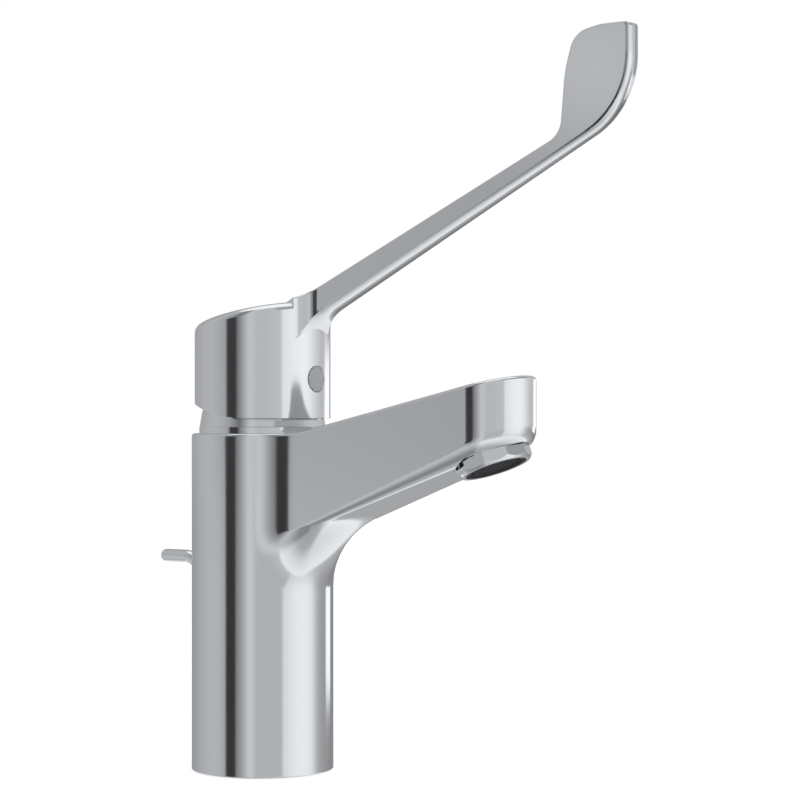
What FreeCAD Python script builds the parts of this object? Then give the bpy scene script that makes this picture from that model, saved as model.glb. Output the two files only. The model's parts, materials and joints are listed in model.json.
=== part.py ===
"""Single-lever basin mixer tap with a long bent lever, built as separate pieces.

Millimetres. Origin: centre of the base face. +Z up, +X along the spout, the lever above the spout.
"""
import FreeCAD, Part
import math
import os

from FreeCAD import Placement, Rotation, Vector

# Column
column_radius = 24.0
column_height = 113.5
rim_round = 1.0
base_round = 0.4

# Spout, measured from the column's axis and its upper rim
spout_width = 30.0
spout_taper_deg = 1.25
spout_reach = 106.0
spout_top_rise_deg = 13.0
spout_top_start = 25.4
spout_top_blend = 60.0
spout_root_depth = 33.7
underside_rise_deg = 20.56
underside_edge_round = 5.0
root_round = 28.0

# Hollow foot of the column
mouth_radius = 18.7
mouth_depth = 16.0
recess_radius = 16.0
recess_forward = 3.0
recess_depth = 46.0
seal_groove_radius = 21.5
seal_groove_width = 2.6
seal_groove_depth = 2.0

# Threaded holes in the roof of the hollow foot: stud M8, hoses M10 x 1 (radii of the bare walls)
stud_hole_radius = 3.4
stud_hole_depth = 18.0
stud_forward = 12.5
inlet_thread_radius = 4.5
inlet_thread_depth = 12.0

# Water ports, as the cartridge has them
inlet_port_radius = 3.5
inlet_back = 2.0
inlet_apart = 15.6
outlet_port_radius = 4.5
outlet_forward = 8.5

# Waterway from the seat to the nose
neck_way_radius = 4.0
spout_way_radius = 6.5
seat_floor = 6.5
way_turn_forward = 11.0
way_turn_rise = 12.6
way_spout_forward = 6.0
way_start_cover = 10.8
way_end_cover = 9.2
way_end_back = 5.0

# Cartridge: bore, seat and the stack of its pieces, from the seat up
cartridge_radius = 19.9
bore_clearance = 0.15
seat_below_rim = 29.5
foot_flange = 2.0
foot_height = 5.4
fixed_disc_height = 3.6
fixed_disc_radius = 15.8
moving_disc_height = 3.4
moving_disc_radius = 12.0
disc_film = 0.02
lobe_length = 5.5
lobe_width = 16.0
lobe_forward = -4.75
throat_length = 16.0
throat_width = 7.0
throat_forward = 0.5
carrier_height = 4.6
shell_wall = 2.85
shoulder_height = 3.0
neck_height = 6.0
neck_wall = 3.3
seal_section = 1.3
seal_height = 1.2
locating_pin_radius = 1.4
locating_pin_length = 2.5
locating_pin_apart = 30.6

# Turret, spindle and their pivot
pivot_above_rim = 2.5
hub_radius = 10.9
hub_above_pivot = 4.5
turret_flange_radius = 16.6
turret_flange_height = 2.7
spindle_lean_deg = 12.5
spindle_length = 8.0
spindle_width = 9.0
spindle_above_pivot = 30.0
spindle_top_chamfer = 0.6
arm_length = 17.0
arm_size = 4.0
ball_radius = 2.5
pocket_width = 7.6
pivot_pin_radius = 2.0
limiter_wall = 2.95
limiter_height = 2.8
limiter_teeth = 20
rotor_seal_section = 1.0

# Ring nut
nut_thread_radius = 20.85
nut_bore_radius = 14.9
nut_crown_radius = 17.5
nut_crown_height = 4.0
nut_slots = 6
nut_slot_width = 4.0

# Domed ring between column and handle
shroud_foot_radius = 21.45
shroud_foot_height = 2.1
shroud_waist_radius = 21.3
shroud_waist_step = 0.15
dome_radius = 21.0
dome_start = 3.0
dome_top = 10.0
dome_hole_radius = 14.5
shroud_wall = 1.2
shroud_seat_height = 3.0

# Handle cap
cap_radius = 23.0
cap_wall = 1.7
cap_bottom_above_rim = 5.0
cap_top_at_axis = 39.75
cap_top_rise_deg = 11.7
cap_top_wall = 5.0
cap_edge_round = 2.5
rear_cut_start = 3.0
rear_cut_deg = 14.5
rear_cut_blend = 60.0
boss_radius = 9.5
boss_above_pivot = 9.5
socket_depth = 31.0
sleeve_wall = 1.5
sleeve_start = 10.0
sleeve_length = 18.0

# Grub screw and its plug, on the cap's front
screw_above_pivot = 15.65
screw_radius = 2.5
screw_tip_radius = 1.5
screw_tip_length = 1.5
screw_length = 9.0
screw_key_flats = 2.5
screw_key_depth = 3.0
screw_bridge_radius = 4.8
access_radius = 3.0
plug_seat_radius = 4.55
plug_gap = 0.25
plug_head = 1.3
plug_notches = 10
plug_notch_radius = 0.35

# Lever: a blade that stands upright in the spout's plane
lever_rise_deg = 25.6
lever_top_at_axis = 35.35
lever_under_rise_deg = 27.25
lever_under_at_axis = 25.84
lever_root_front = 19.8
lever_root_below_top = 15.75
lever_root_round = 19.5
lever_top_blend = 30.0
lever_side_round = 8.0
lever_root_width = 11.6
lever_taper_deg = 1.05
lever_edge_round = 0.5
paddle_front = 142.8
paddle_front_round = 26.5
paddle_top = 125.0
paddle_tip_round = 1.2
paddle_width = 22.2
paddle_bend = paddle_front - paddle_width
paddle_bend_drop = 13.6
paddle_bend_round = 40.0
paddle_corner_ahead = 3.2
paddle_corner = paddle_bend + paddle_corner_ahead
paddle_corner_drop = 1.93
paddle_corner_round = 7.6
paddle_shoulder_ahead = 9.4
paddle_shoulder = paddle_corner + paddle_shoulder_ahead
paddle_shoulder_round = 20.0
paddle_back_lean_deg = 5.0
paddle_throat_round = 7.7

# Aerator, on an axis square to the spout's underside, measured back from the nose
aerator_back = 13.4
collar_radius = 12.3
collar_flats = 10
collar_proud = 3.1
collar_bevel = 1.4
collar_mouth_chamfer = 1.05
collar_gap = 0.8
collar_seat = 1.5
aerator_thread_radius = 11.55
aerator_thread_length = 7.2
aerator_bore_radius = 10.6
aerator_lip_radius = 10.0
aerator_lip = 0.7
insert_wall = 1.2
insert_floor = 1.1
insert_ridge_radius = 9.5
insert_ridge_width = 0.5
honeycomb_radius = 8.7
honeycomb_pitch = 1.9
honeycomb_hole_radius = 0.72
screen_flange = 0.8
screen_dome_radius = 8.2
screen_dome_height = 2.6
screen_wall = 0.6
screen_holes = 12
screen_hole_circle = 4.9
screen_outer_round = 1.8
screen_inner_round = 1.3
washer_height = 1.8
washer_bore_radius = 8.6
chamber_radius = 10.2
chamber_depth = 12.5

# Lift rod of the waste
rod_radius = 2.2
rod_lean_deg = 12.0
rod_bend_radius = 8.0
finger_height = 70.7
finger_start = 34.0
finger_end = 44.6
finger_round = 1.9
rod_end_height = 1.5
rod_end_chamfer = 0.4
rod_clearance = 0.05
rod_bush_wall = 1.1
rod_bush_length = 13.0

# Fits
thread_clearance = 0.05
running_clearance = 0.05
sliding_gap = 0.1
skin = 0.3

# Heights worked out from the sizes above
rim = column_height
aerator_forward = spout_reach - aerator_back
seat = rim - seat_below_rim
foot_top = seat + foot_height
fixed_top = foot_top + fixed_disc_height
moving_bottom = fixed_top + disc_film
moving_top = moving_bottom + moving_disc_height
carrier_top = moving_top + carrier_height
flange_bottom = carrier_top + sliding_gap
flange_top = flange_bottom + turret_flange_height
shoulder_bottom = flange_top + sliding_gap
shoulder_top = shoulder_bottom + shoulder_height
neck_top = shoulder_top + neck_height
pivot = rim + pivot_above_rim
hub_top = pivot + hub_above_pivot
shell_inner_radius = cartridge_radius - shell_wall
neck_inner_radius = hub_radius + running_clearance
foot_plug_radius = shell_inner_radius - thread_clearance
nut_bottom = shoulder_top
cap_bottom = rim + cap_bottom_above_rim
screw_height = pivot + screw_above_pivot

underside_slope = math.tan(math.radians(underside_rise_deg))
spout_top_slope = math.tan(math.radians(spout_top_rise_deg))
cap_top_slope = math.tan(math.radians(cap_top_rise_deg))
lever_slope = math.tan(math.radians(lever_rise_deg))
lean = math.radians(spindle_lean_deg)
rod_lean = math.radians(rod_lean_deg)

ORIGIN = Vector(0, 0, 0)
X_AXIS = Vector(1, 0, 0)
Y_AXIS = Vector(0, 1, 0)
Z_AXIS = Vector(0, 0, 1)
# Reach of the cutting blocks, past every face that they cut
beyond = 200.0
# Distance within which a point counts as lying on a face or a height
near = 0.01
# An edge whose direction has less of Z than this counts as lying down
lying = 0.9


def underside(x):
    """Height of the spout's flat underside at a distance from the axis."""
    return rim - spout_root_depth + underside_slope * (x - column_radius)


def cap_top(x):
    """Height of the cap's sloping top at a distance from the axis."""
    return rim + cap_top_at_axis + cap_top_slope * x


def cylinder(radius, height, base=ORIGIN, direction=Z_AXIS):
    """Cylinder whose seam lies at the back, away from the spout."""
    solid = Part.makeCylinder(radius, height)
    solid.rotate(ORIGIN, Z_AXIS, 180)
    solid.Placement = Placement(base, Rotation(Z_AXIS, direction)).multiply(solid.Placement)
    return solid


def ring(outer, inner, bottom, top):
    """Upright ring between two heights."""
    return cylinder(outer, top - bottom, Vector(0, 0, bottom)).cut(
        cylinder(inner, top - bottom, Vector(0, 0, bottom)))


def box(x_size, y_size, bottom, top, x=0.0, y=0.0):
    """Upright block centred on x and y."""
    return Part.makeBox(x_size, y_size, top - bottom, Vector(x - x_size / 2, y - y_size / 2, bottom))


def turned(outline):
    """Solid turned about Z from (radius, height) points."""
    points = [Vector(radius, 0, height) for radius, height in outline]
    face = Part.Face(Part.makePolygon(points + points[:1]))
    return face.revolve(ORIGIN, Z_AXIS, 360)


def rounded_wire(corners):
    """Closed wire in the XZ plane through (x, z, radius) corners, rounded where radius isn't 0."""
    places = [Vector(x, 0, z) for x, z, _ in corners]
    runs, arcs = [], []
    for index, (_, _, radius) in enumerate(corners):
        here = places[index]
        back = (places[index - 1] - here).normalize()
        onward = (places[(index + 1) % len(places)] - here).normalize()
        half_angle = back.getAngle(onward) / 2
        run = radius / math.tan(half_angle)
        start = here + back * run
        end = here + onward * run
        runs.append((start, end))
        if radius:
            inward = (back + onward).normalize()
            middle = here + inward * (radius / math.sin(half_angle) - radius)
            arcs.append(Part.Arc(start, middle, end).toShape())
        else:
            arcs.append(None)
    edges = []
    for index, arc in enumerate(arcs):
        if arc:
            edges.append(arc)
        edges.append(Part.LineSegment(runs[index][1], runs[(index + 1) % len(runs)][0]).toShape())
    return Part.Wire(edges)


def slab(wire, width):
    """Solid of an outline in the XZ plane, centred on it."""
    solid = Part.Face(wire).extrude(Y_AXIS * width)
    solid.translate(Y_AXIS * (-width / 2))
    return solid


def on_spindle(solid):
    """Turns a solid built upright on the pivot to the spindle's lean."""
    moved = solid.copy()
    moved.rotate(Vector(0, 0, pivot), Y_AXIS, spindle_lean_deg)
    return moved


def on_aerator(solid):
    """Puts a solid, built with +Z out of the spout, on the aerator's axis."""
    out = Vector(math.sin(math.radians(underside_rise_deg)), 0, -math.cos(math.radians(underside_rise_deg)))
    moved = solid.copy()
    axis = Placement(Vector(aerator_forward, 0, underside(aerator_forward)), Rotation(Z_AXIS, out))
    moved.Placement = axis.multiply(moved.Placement)
    return moved


def rod_point(height):
    """Point of the lift rod's straight shank at a height."""
    bend_bottom = finger_height - rod_bend_radius * (1 - math.sin(rod_lean))
    bend_back = finger_start - rod_bend_radius * math.cos(rod_lean)
    return Vector(-bend_back + math.tan(rod_lean) * (bend_bottom - height), 0, height)


def rod_axis():
    """Upward direction of the lift rod's shank."""
    return Vector(-math.sin(rod_lean), 0, math.cos(rod_lean))


def edges_where(solid, test):
    """Edges of a solid whose middle point passes a test."""
    return [edge for edge in solid.Edges
            if test(edge.valueAt((edge.FirstParameter + edge.LastParameter) / 2), edge)]


def port_places():
    """The cartridge's three ports as (x, y, radius)."""
    return [(-inlet_back, inlet_apart / 2, inlet_port_radius),
            (-inlet_back, -inlet_apart / 2, inlet_port_radius),
            (outlet_forward, 0.0, outlet_port_radius)]


def ports(bottom, top, extra=0.0):
    """Upright cylinders at the three ports."""
    return [cylinder(radius + extra, top - bottom, Vector(x, y, bottom)) for x, y, radius in port_places()]


def port_rings(bottom, top):
    """Three rubber rings round the ports, a group of separate solids."""
    return Part.makeCompound([outer.cut(inner) for outer, inner in
                              zip(ports(bottom, top, skin + seal_section), ports(bottom, top, skin))])


def cut_all(solid, tools):
    """Solid less a list of tools."""
    return solid.cut(tools[0].multiFuse(tools[1:]) if len(tools) > 1 else tools[0])


def spout_plan():
    """Plan outline of the spout: sides that spread a little towards the column, and a round nose."""
    taper = math.radians(spout_taper_deg)
    half = spout_width / 2
    nose_centre = Vector(spout_reach - half, 0, 0)
    front = nose_centre + Vector(math.sin(taper), math.cos(taper), 0) * half
    root = Vector(0, front.y + front.x * math.tan(taper), 0)
    front_mirror = Vector(front.x, -front.y, 0)
    root_mirror = Vector(0, -root.y, 0)
    return Part.Wire([Part.LineSegment(root, front).toShape(),
                      Part.Arc(front, nose_centre + X_AXIS * half, front_mirror).toShape(),
                      Part.LineSegment(front_mirror, root_mirror).toShape(),
                      Part.LineSegment(root_mirror, root).toShape()])


def spout_blank():
    """The spout as a straight bar with a round nose, a sloping underside and rounded lower edges."""
    ceiling = rim + beyond
    far = spout_reach + column_radius
    outline = [(0, underside(0), 0), (far, underside(far), 0), (far, ceiling, 0), (0, ceiling, 0)]
    side = slab(rounded_wire(outline), 2 * spout_width)
    plan = Part.Face(spout_plan()).extrude(Z_AXIS * ceiling)
    blank = side.common(plan).removeSplitter()
    lower = edges_where(
        blank, lambda middle, _: middle.x > near and abs(middle.z - underside(middle.x)) < near)
    return blank.makeFillet(underside_edge_round, lower)


def blend_spout(casting):
    """Rounds the spout's root into the column."""
    root = []
    for edge in casting.Edges:
        span = edge.LastParameter - edge.FirstParameter
        samples = [edge.valueAt(edge.FirstParameter + span * step / 4) for step in range(5)]
        on_column = all(abs(math.hypot(p.x, p.y) - column_radius) < near for p in samples)
        level = all(abs(p.z - samples[0].z) < near for p in samples)
        if on_column and not level and samples[2].x > 0:
            root.append(edge)
    return casting.makeFillet(root_round, root)


def top_trim():
    """Block above the casting: level over the column, then curving up along the spout."""
    far = spout_reach + column_radius
    outline = [(-beyond, rim, 0), (spout_top_start, rim, spout_top_blend),
               (far, rim + spout_top_slope * (far - spout_top_start), 0),
               (far, rim + 2 * beyond, 0), (-beyond, rim + 2 * beyond, 0)]
    return slab(rounded_wire(outline), 4 * column_radius)


def outer_casting():
    """Outside of the column and the spout, in one piece."""
    rough = cylinder(column_radius, rim + beyond / 4).fuse(spout_blank().common(
        box(4 * spout_reach, 2 * spout_width, 0, rim + beyond / 4))).removeSplitter()
    shape = blend_spout(rough).cut(top_trim())
    upper = edges_where(shape, lambda middle, edge: middle.z > rim - near and edge.Length > rim_round
                        and abs(edge.tangentAt(edge.FirstParameter).z) < lying)
    shape = shape.makeFillet(rim_round, upper)
    return shape.makeFillet(base_round, edges_where(shape, lambda middle, _: middle.z < near))


def waterway():
    """Path of the water from the outlet port to the chamber above the aerator."""
    low = Vector(outlet_forward, 0, seat - seat_floor)
    # The neck runs midway between the cartridge's bore and the round below the spout's root
    corner = Vector(cartridge_radius + bore_clearance, 0, seat)
    drop = root_round * math.tan(math.radians(90 - underside_rise_deg) / 2)
    round_centre = Vector(column_radius + root_round, 0, underside(column_radius) - drop)
    inward = round_centre - corner
    narrow = corner + inward.normalize() * ((round_centre - corner).Length - root_round) / 2
    turn = Vector(narrow.x + way_turn_forward, 0, narrow.z + way_turn_rise)
    start_x = turn.x + way_spout_forward
    spout_start = Vector(start_x, 0, underside(start_x) + way_start_cover)
    end_x = aerator_forward - way_end_back
    spout_end = Vector(end_x, 0, underside(end_x) + way_end_cover)
    pieces = [cylinder(outlet_port_radius, seat - low.z, low)]
    route = [low, narrow, turn, spout_start, spout_end]
    radii = [neck_way_radius, neck_way_radius, neck_way_radius, spout_way_radius]
    for start, end, radius in zip(route, route[1:], radii):
        pieces.append(cylinder(radius, (end - start).Length, start, end - start))
        pieces.append(Part.makeSphere(radius, start))
    pieces.append(Part.makeSphere(spout_way_radius, spout_end))
    return pieces


def make_body():
    """Column and spout with every bore."""
    mouth = seal_groove_radius + seal_groove_width / 2
    tools = [cylinder(mouth_radius, mouth_depth),
             cylinder(recess_radius, recess_depth, Vector(recess_forward, 0, 0)),
             ring(mouth, mouth - seal_groove_width, 0, seal_groove_depth),
             cylinder(stud_hole_radius, stud_hole_depth, Vector(stud_forward, 0, recess_depth)),
             cylinder(cartridge_radius + bore_clearance, seat_below_rim, Vector(0, 0, seat)),
             cylinder(nut_thread_radius + thread_clearance, rim - nut_bottom, Vector(0, 0, nut_bottom)),
             cylinder(shroud_foot_radius + running_clearance, shroud_foot_height, Vector(0, 0, rim))]
    for side in (-1, 1):
        y = side * inlet_apart / 2
        tools.append(cylinder(inlet_thread_radius, inlet_thread_depth, Vector(-inlet_back, y, recess_depth)))
        tools.append(cylinder(inlet_port_radius, seat - recess_depth, Vector(-inlet_back, y, recess_depth)))
        tools.append(cylinder(locating_pin_radius + running_clearance, locating_pin_length + skin,
                              Vector(0, side * locating_pin_apart / 2, seat - locating_pin_length - skin)))
    tools += waterway()
    rod_bore = cylinder(rod_radius + rod_clearance + rod_bush_wall, beyond, rod_point(0), rod_axis())
    tools.append(rod_bore)
    tools += [on_aerator(cylinder(collar_radius + collar_gap, beyond / 10, Vector(0, 0, -collar_seat))),
              on_aerator(cylinder(aerator_thread_radius + thread_clearance, collar_seat + thread_depth(),
                                  Vector(0, 0, -collar_seat - thread_depth()))),
              on_aerator(cylinder(chamber_radius, chamber_depth, Vector(0, 0, -chamber_depth)))]
    return cut_all(outer_casting(), tools)


def thread_depth():
    """Depth of the aerator's thread below its collar's seat, with the washer at its end."""
    return aerator_thread_length + washer_height


def make_base_seal():
    """Rubber ring, flush in the groove of the base face."""
    outer = seal_groove_radius + seal_groove_width / 2 - running_clearance
    inner = seal_groove_radius - seal_groove_width / 2 + running_clearance
    return ring(outer, inner, 0, seal_groove_depth)


def make_cartridge_base():
    """Foot of the cartridge with its ports, ring grooves and two locating pins."""
    foot = cylinder(cartridge_radius, foot_flange, Vector(0, 0, seat))
    foot = foot.fuse(cylinder(foot_plug_radius, foot_height, Vector(0, 0, seat)))
    for side in (-1, 1):
        foot = foot.fuse(cylinder(locating_pin_radius, locating_pin_length + foot_flange,
                                  Vector(0, side * locating_pin_apart / 2, seat - locating_pin_length)))
    grooves = ports(seat, seat + seal_height, skin + seal_section)
    grooves += ports(foot_top - seal_height, foot_top, skin + seal_section)
    return cut_all(foot, grooves + ports(seat, foot_top))


def make_fixed_disc():
    """Fixed ceramic disc with the three ports."""
    disc = cylinder(fixed_disc_radius, fixed_disc_height, Vector(0, 0, foot_top))
    return cut_all(disc, ports(foot_top, fixed_top))


def disc_shift():
    """Where the moving disc stands at rest, with the spindle leaning forward."""
    return -arm_length * math.sin(lean)


def make_moving_disc():
    """Moving ceramic disc: a T-shaped chamber in its face joins the ports as it slides forward."""
    disc = cylinder(moving_disc_radius, moving_disc_height, Vector(0, 0, moving_bottom))
    depth = moving_disc_height / 2
    lobes = box(lobe_length, lobe_width, moving_bottom, moving_bottom + depth, x=lobe_forward)
    throat = box(throat_length, throat_width, moving_bottom, moving_bottom + depth, x=throat_forward)
    disc = disc.cut(lobes.fuse(throat))
    disc.translate(X_AXIS * disc_shift())
    return disc


def make_disc_carrier():
    """Carrier on the moving disc, with a pocket for the spindle's ball."""
    carrier = cylinder(moving_disc_radius, carrier_height, Vector(0, 0, moving_top))
    pocket = box(2 * (ball_radius + sliding_gap), pocket_width, moving_top, carrier_top)
    carrier = carrier.cut(pocket)
    carrier.translate(X_AXIS * disc_shift())
    return carrier


def make_cartridge_housing():
    """Plastic shell with the shoulder that the nut holds down and the neck that guides the turret."""
    neck_radius = neck_inner_radius + neck_wall
    return turned([(shell_inner_radius, seat + foot_flange), (cartridge_radius, seat + foot_flange),
                   (cartridge_radius, shoulder_top), (neck_radius, shoulder_top), (neck_radius, neck_top),
                   (neck_inner_radius, neck_top), (neck_inner_radius, shoulder_bottom),
                   (shell_inner_radius, shoulder_bottom)])


def spindle_slot():
    """Opening through the turret in which the spindle tilts."""
    reach = math.tan(lean) * (pivot - flange_bottom) + arm_size / 2 / math.cos(lean) + skin
    return box(2 * reach, spindle_width + 2 * sliding_gap, flange_bottom, hub_top)


def make_rotor():
    """Turret: a flange under the housing's shoulder and a hub up through its neck."""
    turret = cylinder(turret_flange_radius, turret_flange_height, Vector(0, 0, flange_bottom))
    turret = turret.fuse(cylinder(hub_radius, hub_top - flange_bottom, Vector(0, 0, flange_bottom)))
    pin_bore = cylinder(pivot_pin_radius, 4 * hub_radius, Vector(0, -2 * hub_radius, pivot), Y_AXIS)
    middle = (shoulder_top + neck_top) / 2
    groove = ring(hub_radius, hub_radius - rotor_seal_section, middle - rotor_seal_section / 2,
                  middle + rotor_seal_section / 2)
    return cut_all(turret, [spindle_slot(), pin_bore, groove])


def make_rotor_seal():
    """Rubber ring in the hub's groove."""
    middle = (shoulder_top + neck_top) / 2
    return ring(hub_radius, hub_radius - rotor_seal_section, middle - rotor_seal_section / 2,
                middle + rotor_seal_section / 2)


def make_limiter_ring():
    """Toothed ring on the hub, above the neck, that limits the hot end."""
    bottom = neck_top + sliding_gap
    inner = hub_radius + thread_clearance
    outer = inner + limiter_wall
    limiter = ring(outer, inner, bottom, bottom + limiter_height)
    notch_depth = limiter_wall / 4
    notches = []
    for step in range(limiter_teeth):
        notch = box(2 * notch_depth, notch_depth, bottom, bottom + limiter_height, x=outer)
        notch.rotate(ORIGIN, Z_AXIS, (step + 0.5) * 360 / limiter_teeth)
        notches.append(notch)
    return cut_all(limiter, notches)


def make_stem():
    """Spindle: square above the pivot, a thinner arm with a ball below it."""
    top = pivot + spindle_above_pivot
    square = box(spindle_length, spindle_width, pivot - hub_above_pivot, top)
    top_edges = edges_where(square, lambda middle, _: abs(middle.z - top) < near)
    square = square.makeChamfer(spindle_top_chamfer, top_edges)
    arm = box(arm_size, arm_size, pivot - arm_length, pivot)
    stem = square.fuse(arm).fuse(Part.makeSphere(ball_radius, Vector(0, 0, pivot - arm_length)))
    bore = cylinder(pivot_pin_radius + running_clearance, 4 * spindle_width,
                    Vector(0, -2 * spindle_width, pivot), Y_AXIS)
    return on_spindle(stem.cut(bore))


def make_stem_pin():
    """Cross pin through the hub, on which the spindle tilts."""
    half = math.sqrt(hub_radius ** 2 - pivot_pin_radius ** 2) - sliding_gap
    return cylinder(pivot_pin_radius, 2 * half, Vector(0, -half, pivot), Y_AXIS)


def make_cartridge_nut():
    """Ring nut in the column's mouth, with a slotted crown under the domed ring."""
    nut = turned([(nut_bore_radius, nut_bottom), (nut_thread_radius, nut_bottom), (nut_thread_radius, rim),
                  (nut_crown_radius, rim), (nut_crown_radius, rim + nut_crown_height),
                  (nut_bore_radius, rim + nut_crown_height)])
    slots = []
    for step in range(nut_slots):
        slot = box(2 * nut_crown_radius, nut_slot_width, rim + nut_crown_height / 2,
                   rim + nut_crown_height, x=nut_crown_radius + nut_bore_radius / 2)
        slot.rotate(ORIGIN, Z_AXIS, step * 360 / nut_slots)
        slots.append(slot)
    return cut_all(nut, slots)


def dome_point(radius, height):
    """Radius of a sphere about the pivot at a height above it."""
    return math.sqrt(radius ** 2 - height ** 2)


def make_shroud():
    """Domed ring: its foot stands on the rim and the nut, its dome clears the tilting cap."""
    inner_radius = dome_radius - shroud_wall
    dome_low = pivot + dome_start
    dome_high = pivot + dome_top
    inner_high = dome_high - shroud_wall
    inner_low = rim + shroud_seat_height
    seat_radius = nut_crown_radius + thread_clearance

    def arc(radius, low, high):
        """Arc of a dome about the pivot between two heights."""
        middle = (low + high) / 2
        points = [Vector(dome_point(radius, height - pivot), 0, height) for height in (low, middle, high)]
        return Part.Arc(*points).toShape()

    corners = [Vector(dome_point(inner_radius, inner_low - pivot), 0, inner_low),
               Vector(seat_radius, 0, inner_low),
               Vector(seat_radius, 0, rim), Vector(shroud_foot_radius, 0, rim),
               Vector(shroud_foot_radius, 0, rim + shroud_foot_height),
               Vector(shroud_waist_radius, 0, rim + shroud_foot_height + shroud_waist_step),
               Vector(dome_point(dome_radius, dome_start), 0, dome_low)]
    top = [Vector(dome_point(dome_radius, dome_top), 0, dome_high), Vector(dome_hole_radius, 0, dome_high),
           Vector(dome_hole_radius, 0, inner_high),
           Vector(dome_point(inner_radius, inner_high - pivot), 0, inner_high)]
    edges = [Part.LineSegment(a, b).toShape() for a, b in zip(corners, corners[1:])]
    edges.append(arc(dome_radius, dome_low, dome_high))
    edges += [Part.LineSegment(a, b).toShape() for a, b in zip(top, top[1:])]
    edges.append(arc(inner_radius, inner_low, inner_high))
    return Part.Face(Part.Wire(Part.__sortEdges__(edges))).revolve(ORIGIN, Z_AXIS, 360)


def lever_top(x):
    """Height of the lever's straight upper line at a distance from the axis."""
    return rim + lever_top_at_axis + lever_slope * x


def lever_under(x):
    """Height of the lever's straight lower line at a distance from the axis."""
    return rim + lever_under_at_axis + math.tan(math.radians(lever_under_rise_deg)) * x


def lever_blank():
    """The lever's blade: its side outline and its plan outline in common."""
    inner_end = lever_root_front / 2
    root_low = cap_top(0) - lever_root_below_top
    paddle_height = rim + paddle_top
    bend_height = paddle_height - paddle_bend_drop
    # Throat: where the paddle's back edge meets the lever's upper line
    back_lean = math.tan(math.radians(paddle_back_lean_deg))
    throat_x = paddle_bend - back_lean * (bend_height - lever_top(0))
    throat_x /= 1 - back_lean * lever_slope
    # The blade's upper line leaves the cap's sloping top where the two cross
    leave_x = (cap_top(0) - lever_top(0)) / (lever_slope - cap_top_slope)
    side = rounded_wire([
        (inner_end, root_low, 0), (lever_root_front, root_low, 0),
        (lever_root_front, lever_under(lever_root_front), lever_root_round),
        (paddle_front, lever_under(paddle_front), paddle_front_round),
        (paddle_front, paddle_height, paddle_tip_round),
        (paddle_shoulder, paddle_height, paddle_shoulder_round),
        (paddle_corner, paddle_height - paddle_corner_drop, paddle_corner_round),
        (paddle_bend, bend_height, paddle_bend_round),
        (throat_x, lever_top(throat_x), paddle_throat_round),
        (leave_x, cap_top(leave_x), lever_top_blend),
        (inner_end, cap_top(inner_end), 0)])
    return slab(side, 2 * cap_radius).common(lever_plan())


def lever_plan():
    """Plan outline of the lever: tapering sides that flare into the cap's round wall."""
    taper = math.tan(math.radians(lever_taper_deg))
    flare = lever_side_round
    # Centre of the flare: it touches the cap's wall and the blade's side line
    level = lever_root_width / 2 + flare * math.hypot(1, taper)
    square = 1 + taper ** 2
    spread = (cap_radius + flare) ** 2 - level ** 2
    centre_x = (level * taper + math.sqrt((level * taper) ** 2 + square * spread)) / square
    centre = Vector(centre_x, level - taper * centre_x, 0)
    outward = Vector(centre).normalize()
    on_cap = outward * cap_radius
    side_normal = Vector(taper, 1, 0).normalize()
    on_side = centre - side_normal * flare
    middle = centre - (outward + side_normal).normalize() * flare
    tip_x = paddle_front + cap_radius
    tip = Vector(tip_x, on_side.y - taper * (tip_x - on_side.x), 0)
    start = Vector(lever_root_front / 4, on_cap.y / 2, 0)
    mirrored = [Vector(p.x, -p.y, 0) for p in (start, on_cap, middle, on_side, tip)]
    edges = [Part.LineSegment(start, on_cap), Part.Arc(on_cap, middle, on_side),
             Part.LineSegment(on_side, tip),
             Part.LineSegment(tip, mirrored[4]), Part.LineSegment(mirrored[4], mirrored[3]),
             Part.Arc(mirrored[3], mirrored[2], mirrored[1]), Part.LineSegment(mirrored[1], mirrored[0]),
             Part.LineSegment(mirrored[0], start)]
    return Part.Face(Part.Wire([edge.toShape() for edge in edges])).extrude(Z_AXIS * 2 * beyond)


def make_lever():
    """Blade with its long edges rounded."""
    blade = lever_blank()
    clear_of_cap = cap_radius + lever_side_round

    def is_long(middle, edge):
        """Edges between the flat sides and the outline, away from the cap."""
        ends = [edge.valueAt(edge.FirstParameter), edge.valueAt(edge.LastParameter)]
        across = abs(ends[0].y - ends[1].y) > lever_edge_round * 4
        return not across and middle.x > clear_of_cap and middle.z < rim + beyond

    return blade.makeFillet(lever_edge_round, edges_where(blade, is_long))


def rear_cut():
    """Wedge below the cap, which lets its skirt swing down at the back."""
    slope = math.tan(math.radians(rear_cut_deg))
    back = 2 * cap_radius
    outline = [(2 * back, cap_bottom, 0), (rear_cut_start, cap_bottom, rear_cut_blend),
               (-back, cap_bottom + slope * (back + rear_cut_start), 0), (-back, 0, 0), (2 * back, 0, 0)]
    return slab(rounded_wire(outline), 4 * cap_radius)


def above_top(lift=0.0):
    """Block above the cap's sloping top, lowered by a wall where lift is negative."""
    far = 2 * cap_radius
    outline = [(-far, cap_top(-far) + lift, 0), (far, cap_top(far) + lift, 0),
               (far, rim + beyond, 0), (-far, rim + beyond, 0)]
    return slab(rounded_wire(outline), 4 * cap_radius)


def socket():
    """Square pocket for the sleeve, on the spindle's axis."""
    x_size = spindle_length + 2 * (sleeve_wall + 2 * running_clearance)
    y_size = spindle_width + 2 * (sleeve_wall + 2 * running_clearance)
    return on_spindle(box(x_size, y_size, pivot, pivot + socket_depth))


def screw_tip_x():
    """Where the screw's tip stands: just clear of the spindle's leaning front face."""
    face = math.tan(lean) * (screw_height + screw_tip_radius - pivot) + spindle_length / 2 / math.cos(lean)
    return face + running_clearance


def plug_back():
    """Where the plug's head seats in the cap's wall."""
    return cap_radius - cap_wall / 2 - plug_head / 2


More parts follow.
